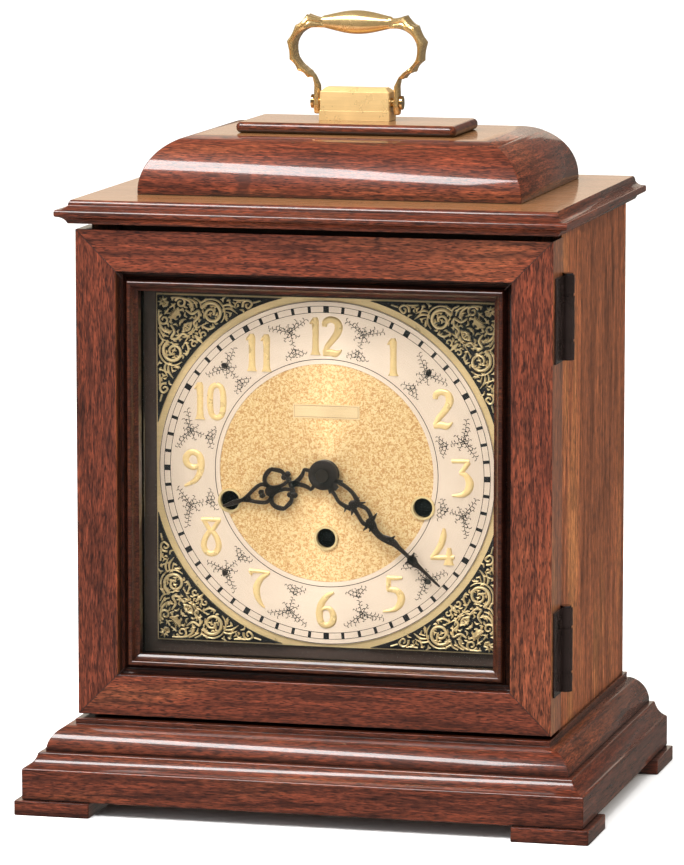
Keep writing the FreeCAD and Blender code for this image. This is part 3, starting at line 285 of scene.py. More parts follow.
def top_light_mask(surface, height):
    """Level tops above a height, where light from above is painted in as a paler colour."""
    high = surface.math("GREATER_THAN", surface.parts(surface.place)["Z"], height)
    upward = surface.math("MAXIMUM", surface.normal()["Z"], 0.0)
    level = surface.math("POWER", upward, TOP_LIGHT_LEVELNESS)
    return surface.math("MULTIPLY", surface.math("MULTIPLY", level, high), TOP_LIGHT_STRENGTH)


def knot_mask(surface, centre):
    """A soft dark streak across the grain, as a small knot leaves, about a centre in X and Z."""
    shifted = surface.stretch(surface.place, (KNOT_SCALE_X, 0, KNOT_SCALE_Z),
                              (-KNOT_SCALE_X * centre[0], 0, -KNOT_SCALE_Z * centre[1]))
    wobble = surface.noise(surface.stretch(surface.place, (300, 300, 300)), detail=3)
    length = surface.add("ShaderNodeVectorMath", operation="LENGTH")
    surface.feed(length.inputs[0], shifted)
    distance = surface.math("ADD", length.outputs["Value"], surface.math("MULTIPLY", wobble, 0.8))
    return surface.math("MULTIPLY", surface.ramp(distance, [(0.75, 1.0), (1.0, 0.0)]), KNOT_STRENGTH)


def metal(name, colour, roughness, grain=None, wear=0.25, metallic=1.0):
    """Lacquered metal with a faint brushed grain, uneven tarnish and small dark specks."""
    surface = Surface(name, Metallic=metallic)
    stretch = (BRUSH_EVEN,) * 3
    if grain:
        stretch = tuple(BRUSH_ALONG if axis == grain else BRUSH_ACROSS for axis in "xyz")
    brushed = surface.noise(surface.stretch(surface.place, stretch), detail=3, roughness=0.6)
    cloud = surface.noise(surface.place, scale=95, detail=4, roughness=0.6)
    specks = surface.noise(surface.place, scale=900, detail=1)
    worn = surface.ramp(cloud, [(0.35, tone(colour, 1 - wear)), (0.65, colour)])
    lined = surface.mix(0.35, worn, surface.ramp(brushed, [(0.3, 0.72), (0.7, 1.0)]), "MULTIPLY")
    spots = surface.math("MULTIPLY", surface.ramp(specks, [(0.74, 0.0), (0.80, 1.0)]), 0.3)
    surface.set("Base Color", surface.mix(spots, lined, tone(colour, 0.35)))
    surface.set("Roughness", surface.ramp(cloud, [(0.3, roughness * 0.8), (0.7, roughness * 1.25)]))
    surface.bump(brushed, 0.00002, 0.35)
    return surface.material


def dial_gold_centre():
    """Damascened gold: worm-like speckles over circular brushing."""
    surface = Surface("dial_centre_gold", Metallic=0.35, Anisotropic=0.85)
    radius = surface.rings_about_dial()
    worms = surface.noise(surface.place, scale=900, detail=2, roughness=0.5, distortion=1.2)
    rings = surface.noise(surface.math("MULTIPLY", radius, CENTRE_LINES), detail=2)
    speckle = surface.ramp(worms, [(0.40, (0.5808, 0.3132, 0.1118)), (0.49, (0.7568, 0.4872, 0.2064)),
                                   (0.60, (0.8536, 0.6351, 0.3268))])
    lines = surface.ramp(rings, [(0.3, 0.7), (0.7, 1.0)])
    surface.set("Base Color", surface.mix(0.25, speckle, lines, "MULTIPLY"))
    surface.set("Roughness", surface.ramp(worms, [(0.4, 0.42), (0.6, 0.30)]))
    surface.bump(worms, 0.00004, 0.6)
    return surface.material


def dial_silver_ring():
    """Pale silver with fine circular brushing and a slight cloudiness."""
    surface = Surface("chapter_ring_silver", Metallic=0.3, Anisotropic=0.8, Roughness=0.36)
    radius = surface.rings_about_dial()
    rings = surface.noise(surface.math("MULTIPLY", radius, RING_LINES), detail=2)
    cloud = surface.noise(surface.place, scale=60, detail=3)
    shade = surface.ramp(rings, [(0.3, (0.70, 0.55, 0.41)), (0.7, (0.82, 0.66, 0.51))])
    haze = surface.ramp(cloud, [(0.3, 0.8), (0.7, 1.0)])
    surface.set("Base Color", surface.mix(0.3, shade, haze, "MULTIPLY"))
    surface.bump(rings, 0.000008, 0.5)
    return surface.material


def lacquer(name, colour, roughness, grain=0.15, bump=0.00002):
    """Paint or board with a fine orange-peel surface and slight unevenness."""
    surface = Surface(name, Specular_IOR_Level=0.4)
    peel = surface.noise(surface.place, scale=850, detail=3)
    cloud = surface.noise(surface.place, scale=70, detail=3)
    uneven = surface.ramp(cloud, [(0.3, tone(colour, 1 - grain)), (0.7, tone(colour, 1 + grain))])
    dimples = surface.ramp(peel, [(0.3, 0.7), (0.7, 1.0)])
    surface.set("Base Color", surface.mix(0.8, uneven, dimples, "MULTIPLY"))
    surface.set("Roughness", surface.ramp(cloud, [(0.3, roughness * 0.85), (0.7, roughness * 1.15)]))
    surface.bump(peel, bump, 0.6)
    return surface.material


# ---- camera, floor and light

def build_camera():
    """A long lens a little above and to the right of the clock."""
    target = Vector((0.0, 0.0125, 0.1533))
    azimuth, elevation = math.radians(14.30), math.radians(8.16)
    distance, sideways = 2.3668, -0.00716
    right = Vector((math.cos(azimuth), math.sin(azimuth), 0))
    ahead = Vector((-math.sin(azimuth) * math.cos(elevation),
                    math.cos(azimuth) * math.cos(elevation), -math.sin(elevation)))
    camera_data = bpy.data.cameras.new("camera")
    camera_data.lens = 228.05
    camera_data.sensor_width = 36.0
    camera_data.clip_end = 60.0
    camera = new_object("camera", camera_data)
    camera.location = target - ahead * distance + right * sideways
    up = right.cross(ahead)
    camera.rotation_euler = Matrix((right, up, -ahead)).transposed().to_euler()
    bpy.context.scene.camera = camera


def area_light(name, size, power, location, aim, colour=WHITE, glossy=True):
    """A rectangular light, in metres and watts; one that isn't glossy leaves no reflection."""
    light_data = bpy.data.lights.new(name, "AREA")
    light_data.shape = "RECTANGLE"
    light_data.size, light_data.size_y = size
    light_data.energy = power
    light_data.color = colour
    light = new_object(name, light_data)
    light.location = location
    direction = Vector(aim) - Vector(location)
    light.rotation_euler = direction.to_track_quat("-Z", "Y").to_euler()
    light.visible_glossy = glossy
    return light


def build_world():
    """A dim warm glow from all round."""
    world = bpy.data.worlds.new("studio")
    world.use_nodes = True
    background = world.node_tree.nodes["Background"]
    background.inputs["Color"].default_value = (1.0, 0.93, 0.83, 1)
    background.inputs["Strength"].default_value = 0.16
    bpy.context.scene.world = world
    bpy.context.scene.view_settings.view_transform = "Standard"


def build_lights():
    """A softbox above the front, fills, a card behind, a ceiling, and a strip for the dial alone."""
    middle = (0, 0, 0.15)
    area_light("softbox", size=(1.9, 0.52), power=54, location=(-0.46, -0.90, 1.36), aim=middle)
    area_light("front_fill", size=(3.0, 2.4), power=40, location=(-0.8, -3.0, 1.15), aim=middle,
               glossy=False)
    area_light("right_fill", size=(0.9, 1.2), power=12, location=(1.9, 0.1, 0.9), aim=middle,
               colour=(1.0, 0.92, 0.80), glossy=False)
    area_light("back_card", size=(2.6, 1.5), power=8.5, location=(-1.4, 4.0, 1.15),
               aim=(0, 0, 0.28), colour=(1.0, 0.88, 0.72))
    area_light("ceiling", size=(18, 18), power=1700, location=(0, 5.0, 6.5), aim=(0, 5.0, 0),
               glossy=False)
    strip = area_light("dial_strip", size=(0.10, 0.55), power=8, location=(-0.335, -1.33, 0.80),
                       aim=(0, 0, DIAL_Z))
    receivers = bpy.data.collections.new("brushed_dial")
    for name in ("dial_centre", "chapter_ring"):
        receivers.objects.link(NODES[name])
    strip.light_linking.receiver_collection = receivers


def build_floor():
    """A plain pale sheet of paper, wide enough to fill every view."""
    mesh = bpy.data.meshes.new("floor")
    half = 14.0
    mesh.from_pydata([(-half, -half, 0), (half, -half, 0), (half, half, 0), (-half, half, 0)],
                     [], [(0, 1, 2, 3)])
    floor = new_object("floor", mesh)
    floor.visible_glossy = False
    paper = Surface("floor_paper", Roughness=0.95, Specular_IOR_Level=0.1)
    grain = paper.noise(paper.place, scale=3.0)
    paper.set("Base Color", paper.ramp(grain, [(0.3, 0.90), (0.7, 0.92)]))
    mesh.materials.append(paper.material)


# ---- finishing the CAD nodes

def paint(material, *names):
    """Gives CAD nodes a material in place of their own."""
    for name in names:
        slots = NODES[name].data.materials
        slots.clear()
        slots.append(material)


WELD_DISTANCE = 0.000002


def ease_edges(width, *names):
    """Take the sharp corners off, as sanding or tumbling does."""
    for name in names:
        node = NODES[name]
        weld = node.modifiers.new("weld", "WELD")
        weld.merge_threshold = WELD_DISTANCE
        bevel = node.modifiers.new("eased_edges", "BEVEL")
        bevel.width = width
        bevel.segments = 2
        bevel.limit_method = "ANGLE"
        bevel.angle_limit = math.radians(35)
        bevel.harden_normals = True
        bevel.use_clamp_overlap = True


def paint_case():
    """Woods, each with its grain axis, seed and brightness; level tops of the upper mouldings get
    painted top light, and sideways faces painted side light.
    """
    cornice_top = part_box("cornice")[1].z
    hood_low, hood_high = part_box("hood")
    pedestal_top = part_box("handle_pedestal")[1].z
    knot = (-0.037, hood_low.z + 0.006)
    paint(wood("wood_feet", "x", 1, 0.85, mitred=True), "feet")
    paint(wood("wood_plinth", "x", 2, 0.76, mitred=True), "plinth")
    paint(wood("wood_base", "x", 3, 0.8, mitred=True), "base_moulding")
    paint(wood("wood_cornice", "x", 4, 0.85, top_light_above=cornice_top - MM, mitred=True), "cornice")
    paint(wood("wood_hood", "x", 5, 1.05, knot=knot, top_light_above=hood_high.z - MM / 4, mitred=True),
          "hood")
    paint(wood("wood_pedestal", "x", 6, 0.8, top_light_above=pedestal_top - MM / 4), "handle_pedestal")
    # Side boards and posts are made much brighter and warmer than the front: painted side light,
    # partly their own warmer tone.
    paint(wood("wood_side", "z", 7, 2.2, coat=0.15, tint=SIDE_LIGHT_TINT), "case_panel_left",
          "case_panel_right")
    paint(wood("wood_back", "z", 8, 1.2, coat=0.2), "back_panel")
    paint(wood("wood_post", "z", 9, 2.6, coat=0.15, tint=SIDE_LIGHT_TINT), "case_post_left",
          "case_post_right")
    # The stiles' sideways faces get painted side light.
    paint(wood("wood_stile", "z", 10, 0.9, side=2.3), "door_stile_left", "door_stile_right")
    paint(wood("wood_rail", "x", 11, 0.95), "door_rail_top", "door_rail_bottom")
    # The bead and glass stops are painted much darker, as shade in the door's inner recess.
    paint(wood("wood_bead", "x", 12, 0.35), "door_bead")
    paint(wood("wood_stops", "x", 13, 0.2), "glass_stops")
    ease_edges(0.0008, "plinth", "base_moulding", "cornice", "feet")
    ease_edges(0.0004, "hood")
    ease_edges(0.0003, "door_stile_left", "door_rail_top", "door_rail_bottom", "door_bead")


def paint_fittings():
    """Hinges, catch, handle fittings, screws and the glass."""
    paint(metal("hinge_bronze", (0.040, 0.026, 0.023), 0.2, "z", 0.3, 0.5),
          "door_hinge_leaves", "case_hinge_leaves")
    paint(metal("pin_bronze", (0.24, 0.23, 0.26), 0.22, "z"), "hinge_pins")
    paint(metal("screw_bronze", (0.12, 0.09, 0.07), 0.3), "door_hinge_screws", "case_hinge_screws")
    paint(metal("handle_brass", (0.76, 0.52, 0.23), 0.3, "x", 0.12, 0.45), "handle_block")
    paint(metal("rod_brass", BRASS, 0.2, "x"), "handle_pivot_rod")
    paint(metal("back_screw_steel", STEEL, 0.35), "back_panel_screws")
    paint(metal("catch_steel", STEEL, 0.4, "z"), "door_catch_plate")
    paint(lacquer("catch_magnet", (0.16, 0.10, 0.07), 0.6), "door_catch_magnet")
    glass = Surface("glass_pane", Alpha=0.10, Specular_IOR_Level=0.5)
    smear = glass.noise(glass.place, scale=25, detail=3)
    glass.set("Base Color", glass.ramp(smear, [(0.3, (0.012, 0.018, 0.016)),
                                               (0.7, (0.03, 0.04, 0.036))]))
    glass.set("Roughness", glass.ramp(smear, [(0.3, 0.01), (0.7, 0.03)]))
    paint(glass.material, "door_glass")
    ease_edges(0.0004, "handle_block")


def paint_dial():
    """The dial's plates, its mat and its small fittings."""
    paint(lacquer("mat_board", (0.085, 0.051, 0.038), 0.75, 0.12, 0.00004), "dial_mat")
    paint(metal("plate_gold", (0.90, 0.66, 0.33), 0.33, "x", 0.1, 0.35), "dial_plate")
    paint(dial_silver_ring(), "chapter_ring")
    paint(dial_gold_centre(), "dial_centre")
    paint(lacquer("spandrel_ground", (0.012, 0.010, 0.011), 0.5), "corner_spandrels")
    paint(metal("eyelet_brass", (0.93, 0.70, 0.34), 0.18, None, 0.06, 0.4), "winding_grommets")
    paint(metal("rivet_steel", (0.20, 0.17, 0.15), 0.35), "dial_rivets")
    paint(metal("plaque_gold", (0.90, 0.66, 0.36), 0.38, "x", 0.06, 0.3), "name_plaque")
    paint(metal("post_brass", BRASS, 0.3, "y"), "dial_posts")


def paint_movement():
    """The brass and steel of the movement and the chimes."""
    paint(metal("plate_brass", BRASS, 0.3, "x"), "movement_front_plate", "movement_back_plate")
    paint(metal("pillar_brass", BRASS, 0.25, "y"), "movement_pillars")
    paint(metal("barrel_brass", BRASS, 0.26, "y"), "going_barrel", "strike_barrel", "chime_barrel")
    paint(metal("wheel_brass", PALE_BRASS, 0.28, "x"), "centre_wheel", "minute_wheel",
          "hour_wheel", "cannon_pinion")
    paint(metal("arbor_steel", STEEL, 0.22, "y"), "centre_arbor", "hammer_shaft")
    paint(metal("arbor_blued", (0.045, 0.042, 0.05), 0.2, "y"), "going_winding_arbor",
          "strike_winding_arbor", "chime_winding_arbor")
    paint(metal("platform_steel", STEEL, 0.4, "x"), "escapement_platform")
    paint(metal("rod_steel", STEEL, 0.3, "x"), "chime_rods")
    paint(metal("hammer_brass", BRASS, 0.3), "chime_hammers")
    paint(lacquer("iron_block", (0.05, 0.05, 0.055), 0.55), "chime_rod_block")
    paint(metal("nut_bronze", (0.34, 0.28, 0.24), 0.22), "hand_nut")


# ---- mesh building

# Sections of a raised line, as (half width, height), from one foot to the other.
ROUND = [(math.cos(math.pi * step / 8), math.sin(math.pi * step / 8)) for step in range(9)]
FLAT = [(1.0, 0.0), (1.0, 0.75), (0.8, 1.0), (-0.8, 1.0), (-1.0, 0.75), (-1.0, 0.0)]
SLAB = [(1.0, 0.0), (1.0, 1.0), (-1.0, 1.0), (-1.0, 0.0)]
# The outline of a low round button, as (radius, height).
BUTTON = [(1.0, 0.0), (1.0, 0.55), (0.85, 0.85), (0.5, 1.0)]
# Edges sharper than this, in degrees, stay crisp.
CRISP_ANGLE = 38


class Shell:
    """Gathers closed meshes that become one object."""

    def __init__(self):
        self.points = []
        self.faces = []

    def loft(self, rings, closed=False):
        """Skin a row of equal rings; the two end rings are capped unless the row closes."""
        first = len(self.points)
        size = len(rings[0])
        for ring in rings:
            self.points.extend(ring)
        count = len(rings)
        for index in range(count if closed else count - 1):
            here = first + index * size
            there = first + (index + 1) % count * size
            for side in range(size):
                other = (side + 1) % size
                self.faces.append((here + side, here + other, there + other, there + side))
        if not closed:
            last = first + (count - 1) * size
            self.faces.append(tuple(range(first + size - 1, first - 1, -1)))
            self.faces.append(tuple(range(last, last + size)))

    def stroke(self, path, section, height, base, steps=5):
        """A raised line on the dial: path holds (right, up, width) in millimetres."""
        samples = smooth_path(path, steps)
        rings = []
        for index, (u, v, width) in enumerate(samples):
            before = samples[max(index - 1, 0)]
            after = samples[min(index + 1, len(samples) - 1)]
            run, rise = after[0] - before[0], after[1] - before[1]
            length = math.hypot(run, rise) or 1.0
            across = (-rise / length * width / 2, run / length * width / 2)
            rings.append([dial_point(u + across[0] * side, v + across[1] * side,
                                     base - height * lift * MM) for side, lift in section])
        self.loft(rings)

    def ring(self, outline, height, base, steps):
        """A closed ring round the dial's centre; its outline is (radius, share of the height)."""
        rings = []
        for step in range(steps):
            angle = 2 * math.pi * step / steps
            rings.append([dial_point(math.sin(angle) * radius, math.cos(angle) * radius,
                                     base - height * lift * MM) for radius, lift in outline])
        self.loft(rings, closed=True)

    def disc(self, u, v, radius, height, base, sides=16):
        """A low round button."""
        rings = []
        for scale, lift in BUTTON:
            rings.append([dial_point(*polar((u, v), radius * scale, 2 * math.pi * step / sides),
                                     base - height * lift * MM) for step in range(sides)])
        self.loft(rings)

    def build(self, name, material, body, smooth=True):
        """Makes the object, rides it on a body and says what it is made of."""
        mesh = bpy.data.meshes.new(name)
        mesh.from_pydata(self.points, [], self.faces)
        mesh.materials.append(material)
        piece = new_object(name, mesh)
        make_outward(mesh)
        if smooth:
            mesh.shade_smooth()
            mesh.set_sharp_from_angle(angle=math.radians(CRISP_ANGLE))
        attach(piece, body)
        return piece


def make_outward(mesh):
    """Turns every face of closed shells outward."""
    work = bmesh.new()
    work.from_mesh(mesh)
    bmesh.ops.recalc_face_normals(work, faces=work.faces)
    work.to_mesh(mesh)
    work.free()


def dial_point(u, v, y):
    """A point right of and above the dial's centre in millimetres, at a depth in metres."""
    return (DIAL_X + u * MM, y, DIAL_Z + v * MM)


def smooth_path(path, steps):
    """Catmull-Rom samples through the points of a path, widths included."""
    if len(path) == 2:
        steps = 2
    samples = []
    for index in range(len(path) - 1):
        before = path[max(index - 1, 0)]
        start, end = path[index], path[index + 1]
        after = path[min(index + 2, len(path) - 1)]
        for step in range(steps):
            t = step / steps
            samples.append(tuple(
                0.5 * (2 * b + (c - a) * t + (2 * a - 5 * b + 4 * c - d) * t * t
                       + (3 * b - a - 3 * c + d) * t ** 3)
                for a, b, c, d in zip(before, start, end, after)))
    samples.append(tuple(path[-1]))
    return samples


def polar(centre, radius, angle):
    """A point at a distance and an angle, in radians, from a centre."""
    return (centre[0] + radius * math.cos(angle), centre[1] + radius * math.sin(angle))


def turned(path, angle):
    """A path drawn pointing up, turned clockwise by an angle in degrees."""
    sine, cosine = math.sin(math.radians(angle)), math.cos(math.radians(angle))
    return [(u * cosine + v * sine, v * cosine - u * sine, width) for u, v, width in path]


def heavier(paths, factor):
    """The same paths, drawn wider."""
    return [[(u, v, width * factor) for u, v, width in path] for path in paths]


# ---- numerals and printed track

ONE = [[(0, -7.9, 3.9), (0, -7.0, 2.9), (0, -4.5, 2.4), (0, 2.0, 2.3), (-0.1, 6.0, 2.6),
        (-0.2, 7.9, 1.7)],
       [(-0.2, 7.0, 1.7), (-1.3, 6.4, 1.2), (-2.4, 5.2, 0.5)]]
TWO = [[(-3.2, 4.2, 1.7), (-2.9, 6.0, 2.2), (-0.8, 7.2, 2.2), (2.0, 6.4, 2.5), (3.0, 4.0, 2.9),
        (2.2, 1.2, 2.6), (0.2, -1.6, 2.2), (-1.9, -4.2, 2.0), (-3.1, -6.9, 1.8)],
       [(-3.8, -7.1, 2.2), (-0.8, -6.8, 2.4), (1.6, -7.2, 2.4), (3.5, -6.3, 1.1), (4.1, -5.4, 0.5)]]
ZERO = [[(0.0, 7.1, 1.9), (-2.3, 5.4, 2.1), (-2.95, 0.0, 2.3), (-2.3, -5.4, 2.1),
         (0.0, -7.1, 1.9), (2.3, -5.4, 2.1), (2.95, 0.0, 2.3), (2.3, 5.4, 2.1), (0.0, 7.1, 1.9)]]
NUMERALS = {
    1: [(0, ONE)],
    2: [(0, TWO)],
    3: [(0, [[(-3.8, 7.2, 1.5), (0, 7.3, 1.5), (3.7, 7.3, 1.4)],
             [(3.4, 7.1, 1.9), (1.2, 3.7, 1.6), (-0.2, 2.3, 1.4)],
             [(-0.2, 2.4, 1.4), (2.4, 1.1, 2.0), (3.9, -1.8, 2.9), (3.2, -5.0, 2.6),
              (0.6, -7.0, 1.8), (-3.6, -7.4, 0.7)]])],
    4: [(0, [[(0.7, 7.7, 0.9), (0.5, 4.5, 2.2), (-1.0, -0.2, 2.3), (-4.4, -4.7, 1.4)],
             [(-5.0, -5.0, 1.6), (0, -4.8, 1.7), (5.2, -4.5, 1.5)],
             [(3.0, -0.6, 1.4), (2.9, -4.0, 2.4), (2.8, -7.1, 3.2), (2.8, -7.9, 4.2)]])],
    5: [(0, [[(-2.4, 6.9, 1.7), (1.6, 6.9, 1.5), (4.0, 7.2, 0.9)],
             [(-1.9, 7.3, 1.9), (-2.0, 4.0, 1.7), (-2.1, 1.6, 1.5)],
             [(-2.4, 1.9, 1.7), (1.4, 1.6, 2.2), (3.5, -0.9, 2.8), (3.0, -4.1, 2.5),
              (0.5, -6.6, 1.6), (-4.3, -7.6, 0.7)]])],
    6: [(0, [[(3.4, 7.4, 0.8), (0.8, 6.0, 1.8), (-1.9, 2.8, 2.4), (-3.0, -1.6, 2.6),
              (-2.3, -5.6, 2.4), (0.1, -7.0, 2.0), (2.6, -5.5, 2.4), (3.1, -2.5, 2.4),
              (1.7, 0.1, 1.8), (-0.5, 0.5, 1.2), (-2.3, -0.8, 0.8)]])],
    7: [(0, [[(-4.4, 7.4, 1.7), (0, 7.3, 1.3), (4.4, 6.9, 1.2)],
             [(-4.3, 7.6, 1.5), (-3.6, 5.5, 0.7)],
             [(4.2, 6.9, 1.2), (0.6, 4.2, 2.0), (-1.4, 0.4, 2.6), (-1.0, -3.6, 2.2),
              (0.6, -6.6, 1.3), (2.2, -8.2, 0.5)]])],
    8: [(0, [[(-4.2, 7.4, 1.5), (4.2, 7.4, 1.5)],
             [(3.5, 7.4, 1.5), (0.2, 2.2, 1.7)],
             [(-3.5, 7.4, 1.5), (-0.2, 2.2, 1.7)],
             [(0, 3.2, 1.8), (-2.4, -0.2, 2.0), (-3.3, -3.6, 2.2), (-2.3, -6.3, 2.1),
              (0, -7.3, 2.0), (2.3, -6.3, 2.1), (3.3, -3.6, 2.2), (2.4, -0.2, 2.0),
              (0, 3.2, 1.8)]])],
    9: [(0, [[(3.0, 2.2, 1.0), (1.6, 0.9, 1.8), (-0.6, 0.6, 2.0), (-2.8, 2.1, 2.4),
              (-3.1, 4.9, 2.4), (-0.7, 7.0, 2.1), (2.3, 6.0, 2.4), (3.4, 3.0, 2.7),
              (3.0, -1.4, 2.4), (0.7, -5.2, 1.8), (-3.8, -7.6, 0.8)]])],
    10: [(-4.7, ONE), (2.6, ZERO)],
    11: [(-3.2, ONE), (3.2, ONE)],
    12: [(-4.6, ONE), (2.5, TWO)],
}
NUMERAL_CIRCLE, NUMERAL_HEIGHT, NUMERAL_WEIGHT = 58.3, 0.75, 1.2
INK = 0.06
TRACK_OUTER, TRACK_INNER = 71.1, 68.4
# Printed circles on the chapter ring, as (radius, line width).
PRINTED_CIRCLES = [(TRACK_OUTER, 0.22), (TRACK_INNER, 0.22), (48.6, 0.3), (73.1, 0.2)]
HOUR_TICK, MINUTE_TICK = 2.4, 1.35


def build_numerals():
    """Upright raised numbers round the chapter ring."""
    shell = Shell()
    for hour, glyphs in NUMERALS.items():
        angle = math.radians(30 * hour)
        u, v = NUMERAL_CIRCLE * math.sin(angle), NUMERAL_CIRCLE * math.cos(angle)
        for shift, strokes in glyphs:
            for path in heavier(strokes, NUMERAL_WEIGHT):
                moved = [(u + shift + x, v + z, width) for x, z, width in path]
                shell.stroke(moved, ROUND, NUMERAL_HEIGHT, RING_FRONT, steps=6)
    gold = metal("numeral_gold", (0.95, 0.68, 0.31), 0.3, None, 0.02, 0.3)
    shell.build("numerals", gold, "case")


def build_minute_track(ink):
    """Printed circles and a block for each minute, wider at the hours."""
    shell = Shell()
    for radius, width in PRINTED_CIRCLES:
        outline = [(radius + side * width / 2, lift) for side, lift in SLAB]
        shell.ring(outline, INK, RING_FRONT, steps=180)
    for minute in range(60):
        width = HOUR_TICK if minute % 5 == 0 else MINUTE_TICK
        tick = [(0, TRACK_INNER, width), (0, TRACK_OUTER, width)]
        shell.stroke(turned(tick, 6 * minute), SLAB, INK, RING_FRONT)
    shell.build("minute_track", ink, "case", smooth=False)


def sprig(start, end, leaves, size, draw):
    """A thin stem with small curled leaves on alternate sides."""
    run, rise = end[0] - start[0], end[1] - start[1]
    heading = math.atan2(rise, run)
    middle = ((start[0] + end[0]) / 2 + 0.4, (start[1] + end[1]) / 2)
    paths = [[(*start, 0.22), (*middle, 0.26), (*end, 0.12)]]
    for leaf in range(leaves):
        t = (leaf + 0.6) / leaves
        u, v = start[0] + run * t, start[1] + rise * t
        side = 1 if leaf % 2 else -1
        away = heading + side * math.radians(draw.uniform(40, 75))
        bend = away + side * math.radians(draw.uniform(35, 80))
        reach = size * draw.uniform(0.75, 1.2)
        knee = polar((u, v), reach, away)
        paths.append([(u, v, 0.14), (*knee, 0.34), (*polar(knee, 0.7 * reach, bend), 0.10)])
    return paths


def build_sprays(ink):
    """Printed arabesques between the numerals: a spreading spray and a small fan inside it."""
    shell = Shell()
    draw = random.Random(11)
    # Stems pointing up, as start, end, leaves and leaf size; a slanting one has a mirror image.
    stems = [((0, 61.4), (8.6, 65.4), 11, 1.0), ((0, 61.4), (4.6, 65.6), 6, 0.8),
             ((0, 61.8), (0, 55.8), 8, 0.9), ((0, 61.4), (3.4, 58.6), 4, 0.7),
             ((0, 61.0), (0, 65.0), 5, 0.6), ((0, 54.4), (4.6, 50.9), 6, 0.75),
             ((0, 55.0), (0, 50.6), 6, 0.8), ((0, 52.4), (2.8, 50.4), 4, 0.55)]
    for gap in range(12):
        for start, (across, top), leaves, size in stems:
            for end in ((-across, top), (across, top)) if across else ((0, top),):
                for path in sprig(start, end, leaves, size, draw):
                    placed = turned(path, 30 * gap + 15)
                    shell.stroke(placed, SLAB, INK, RING_FRONT, steps=2)
    shell.build("dial_sprays", ink, "case", smooth=False)


# ---- spandrel relief

# The concave outline that the corners share with the dial's circle.
OUTLINE_RADIUS = 76.5
STROKE_CLEAR, LEAF_CLEAR = 0.5, 1.1
LEAF_TRIES, LEAF_GAP = 5200, 0.95
SPANDREL_HEIGHT, SPANDREL_WEIGHT = 0.85, 1.15


def inside_outline(p, q, clear):
    """Whether a point of a corner is on the corner's side of the outline, and clear of it."""
    return math.hypot(SPANDREL_EDGE - p, SPANDREL_EDGE - q) > OUTLINE_RADIUS + clear


def spiral(centre, outer, inner, start, turns, wide, narrow, count=11):
    """A volute that winds inwards from its outer end."""
    path = []
    for step in range(count):
        t = step / (count - 1)
        radius = outer + (inner - outer) * t
        angle = math.radians(start + 360 * turns * t)
        path.append((*polar(centre, radius, angle), wide + (narrow - wide) * t))
    return path


def fan(centre, inner, outer, first, last, ribs, bend, width):
    """Curved ribs that spread from a centre."""
    paths = []
    for rib in range(ribs):
        angle = math.radians(first + (last - first) * rib / (ribs - 1))
        middle = polar(centre, (inner + outer) / 2, angle + math.radians(bend * 0.35))
        tip = polar(centre, outer, angle + math.radians(bend))
        paths.append([(*polar(centre, inner, angle), width * 0.5), (*middle, width),
                      (*tip, width * 0.35)])
    return paths


def spandrel_half():
    """Strokes for half a corner, as (from the side edge, from the top edge), in millimetres."""
    paths = [
        spiral((10.4, 3.0), 2.5, 0.5, 200, 1.3, 0.9, 0.6),
        [(6.2, 0.9, 0.6), (9.0, 0.8, 0.8), (13.0, 1.4, 0.9), (15.4, 3.6, 0.9), (15.9, 6.2, 0.6)],
        [(13.6, 0.8, 0.5), (16.6, 2.4, 0.8), (17.6, 5.0, 0.5)],
        [(16.2, 0.8, 0.5), (18.6, 2.0, 0.7), (19.4, 4.2, 0.5)],
        [(12.6, 6.0, 0.6), (15.4, 7.6, 1.0), (18.2, 6.2, 0.9), (18.4, 8.8, 0.9), (16.2, 11.2, 1.0),
         (17.6, 13.4, 0.8), (19.4, 12.4, 0.5)],
        spiral((24.0, 7.2), 5.0, 0.8, 205, 1.55, 1.25, 0.8, 15),
        spiral((24.0, 7.2), 6.3, 5.6, 250, 0.42, 0.7, 0.5, 7),
        [(19.8, 12.6, 0.5), (22.6, 13.9, 0.9), (25.4, 13.0, 0.6)],
        spiral((20.6, 16.3), 1.9, 0.4, 30, 1.2, 0.8, 0.5),
        [(21.6, 13.6, 0.5), (23.4, 16.4, 0.8), (22.6, 19.0, 0.5)],
        [(31.6, 1.2, 0.6), (33.0, 5.0, 0.9), (31.6, 10.0, 0.9), (28.0, 15.4, 0.6)],
        spiral((40.0, 3.2), 2.5, 0.5, 160, 1.3, 0.9, 0.6),
        [(33.6, 1.0, 0.6), (37.0, 1.2, 0.8), (38.6, 0.8, 0.5)],
        [(42.4, 2.0, 0.7), (45.4, 1.2, 0.9), (49.0, 1.3, 0.9), (54.6, 1.0, 0.4)],
        [(43.4, 4.4, 0.6), (46.8, 3.2, 0.8), (51.6, 2.2, 0.4)],
        [(1.0, 21.4, 0.4), (2.6, 19.6, 0.8), (1.2, 17.6, 0.4)],
        [(5.6, 5.2, 0.5), (7.4, 4.2, 0.7), (7.6, 6.0, 0.5)],
    ]
    paths += fan((24.4, 8.0), 6.2, 11.0, -42, 62, 9, 24, 0.9)
    paths += fan((34.6, 8.6), 1.0, 4.6, -60, 70, 6, 30, 0.7)
    paths += fan((9.6, 9.6), 1.2, 4.4, 180, 225, 5, 0, 0.62)
    paths += fan((46.4, 3.4), 0.8, 2.4, 60, 150, 4, 20, 0.5)
    paths += fan((25.2, 17.0), 0.6, 2.4, 200, 330, 5, 20, 0.5)
    paths += fan((2.7, 2.7), 0.5, 2.3, 45, 225, 5, 0, 0.8)
    return paths


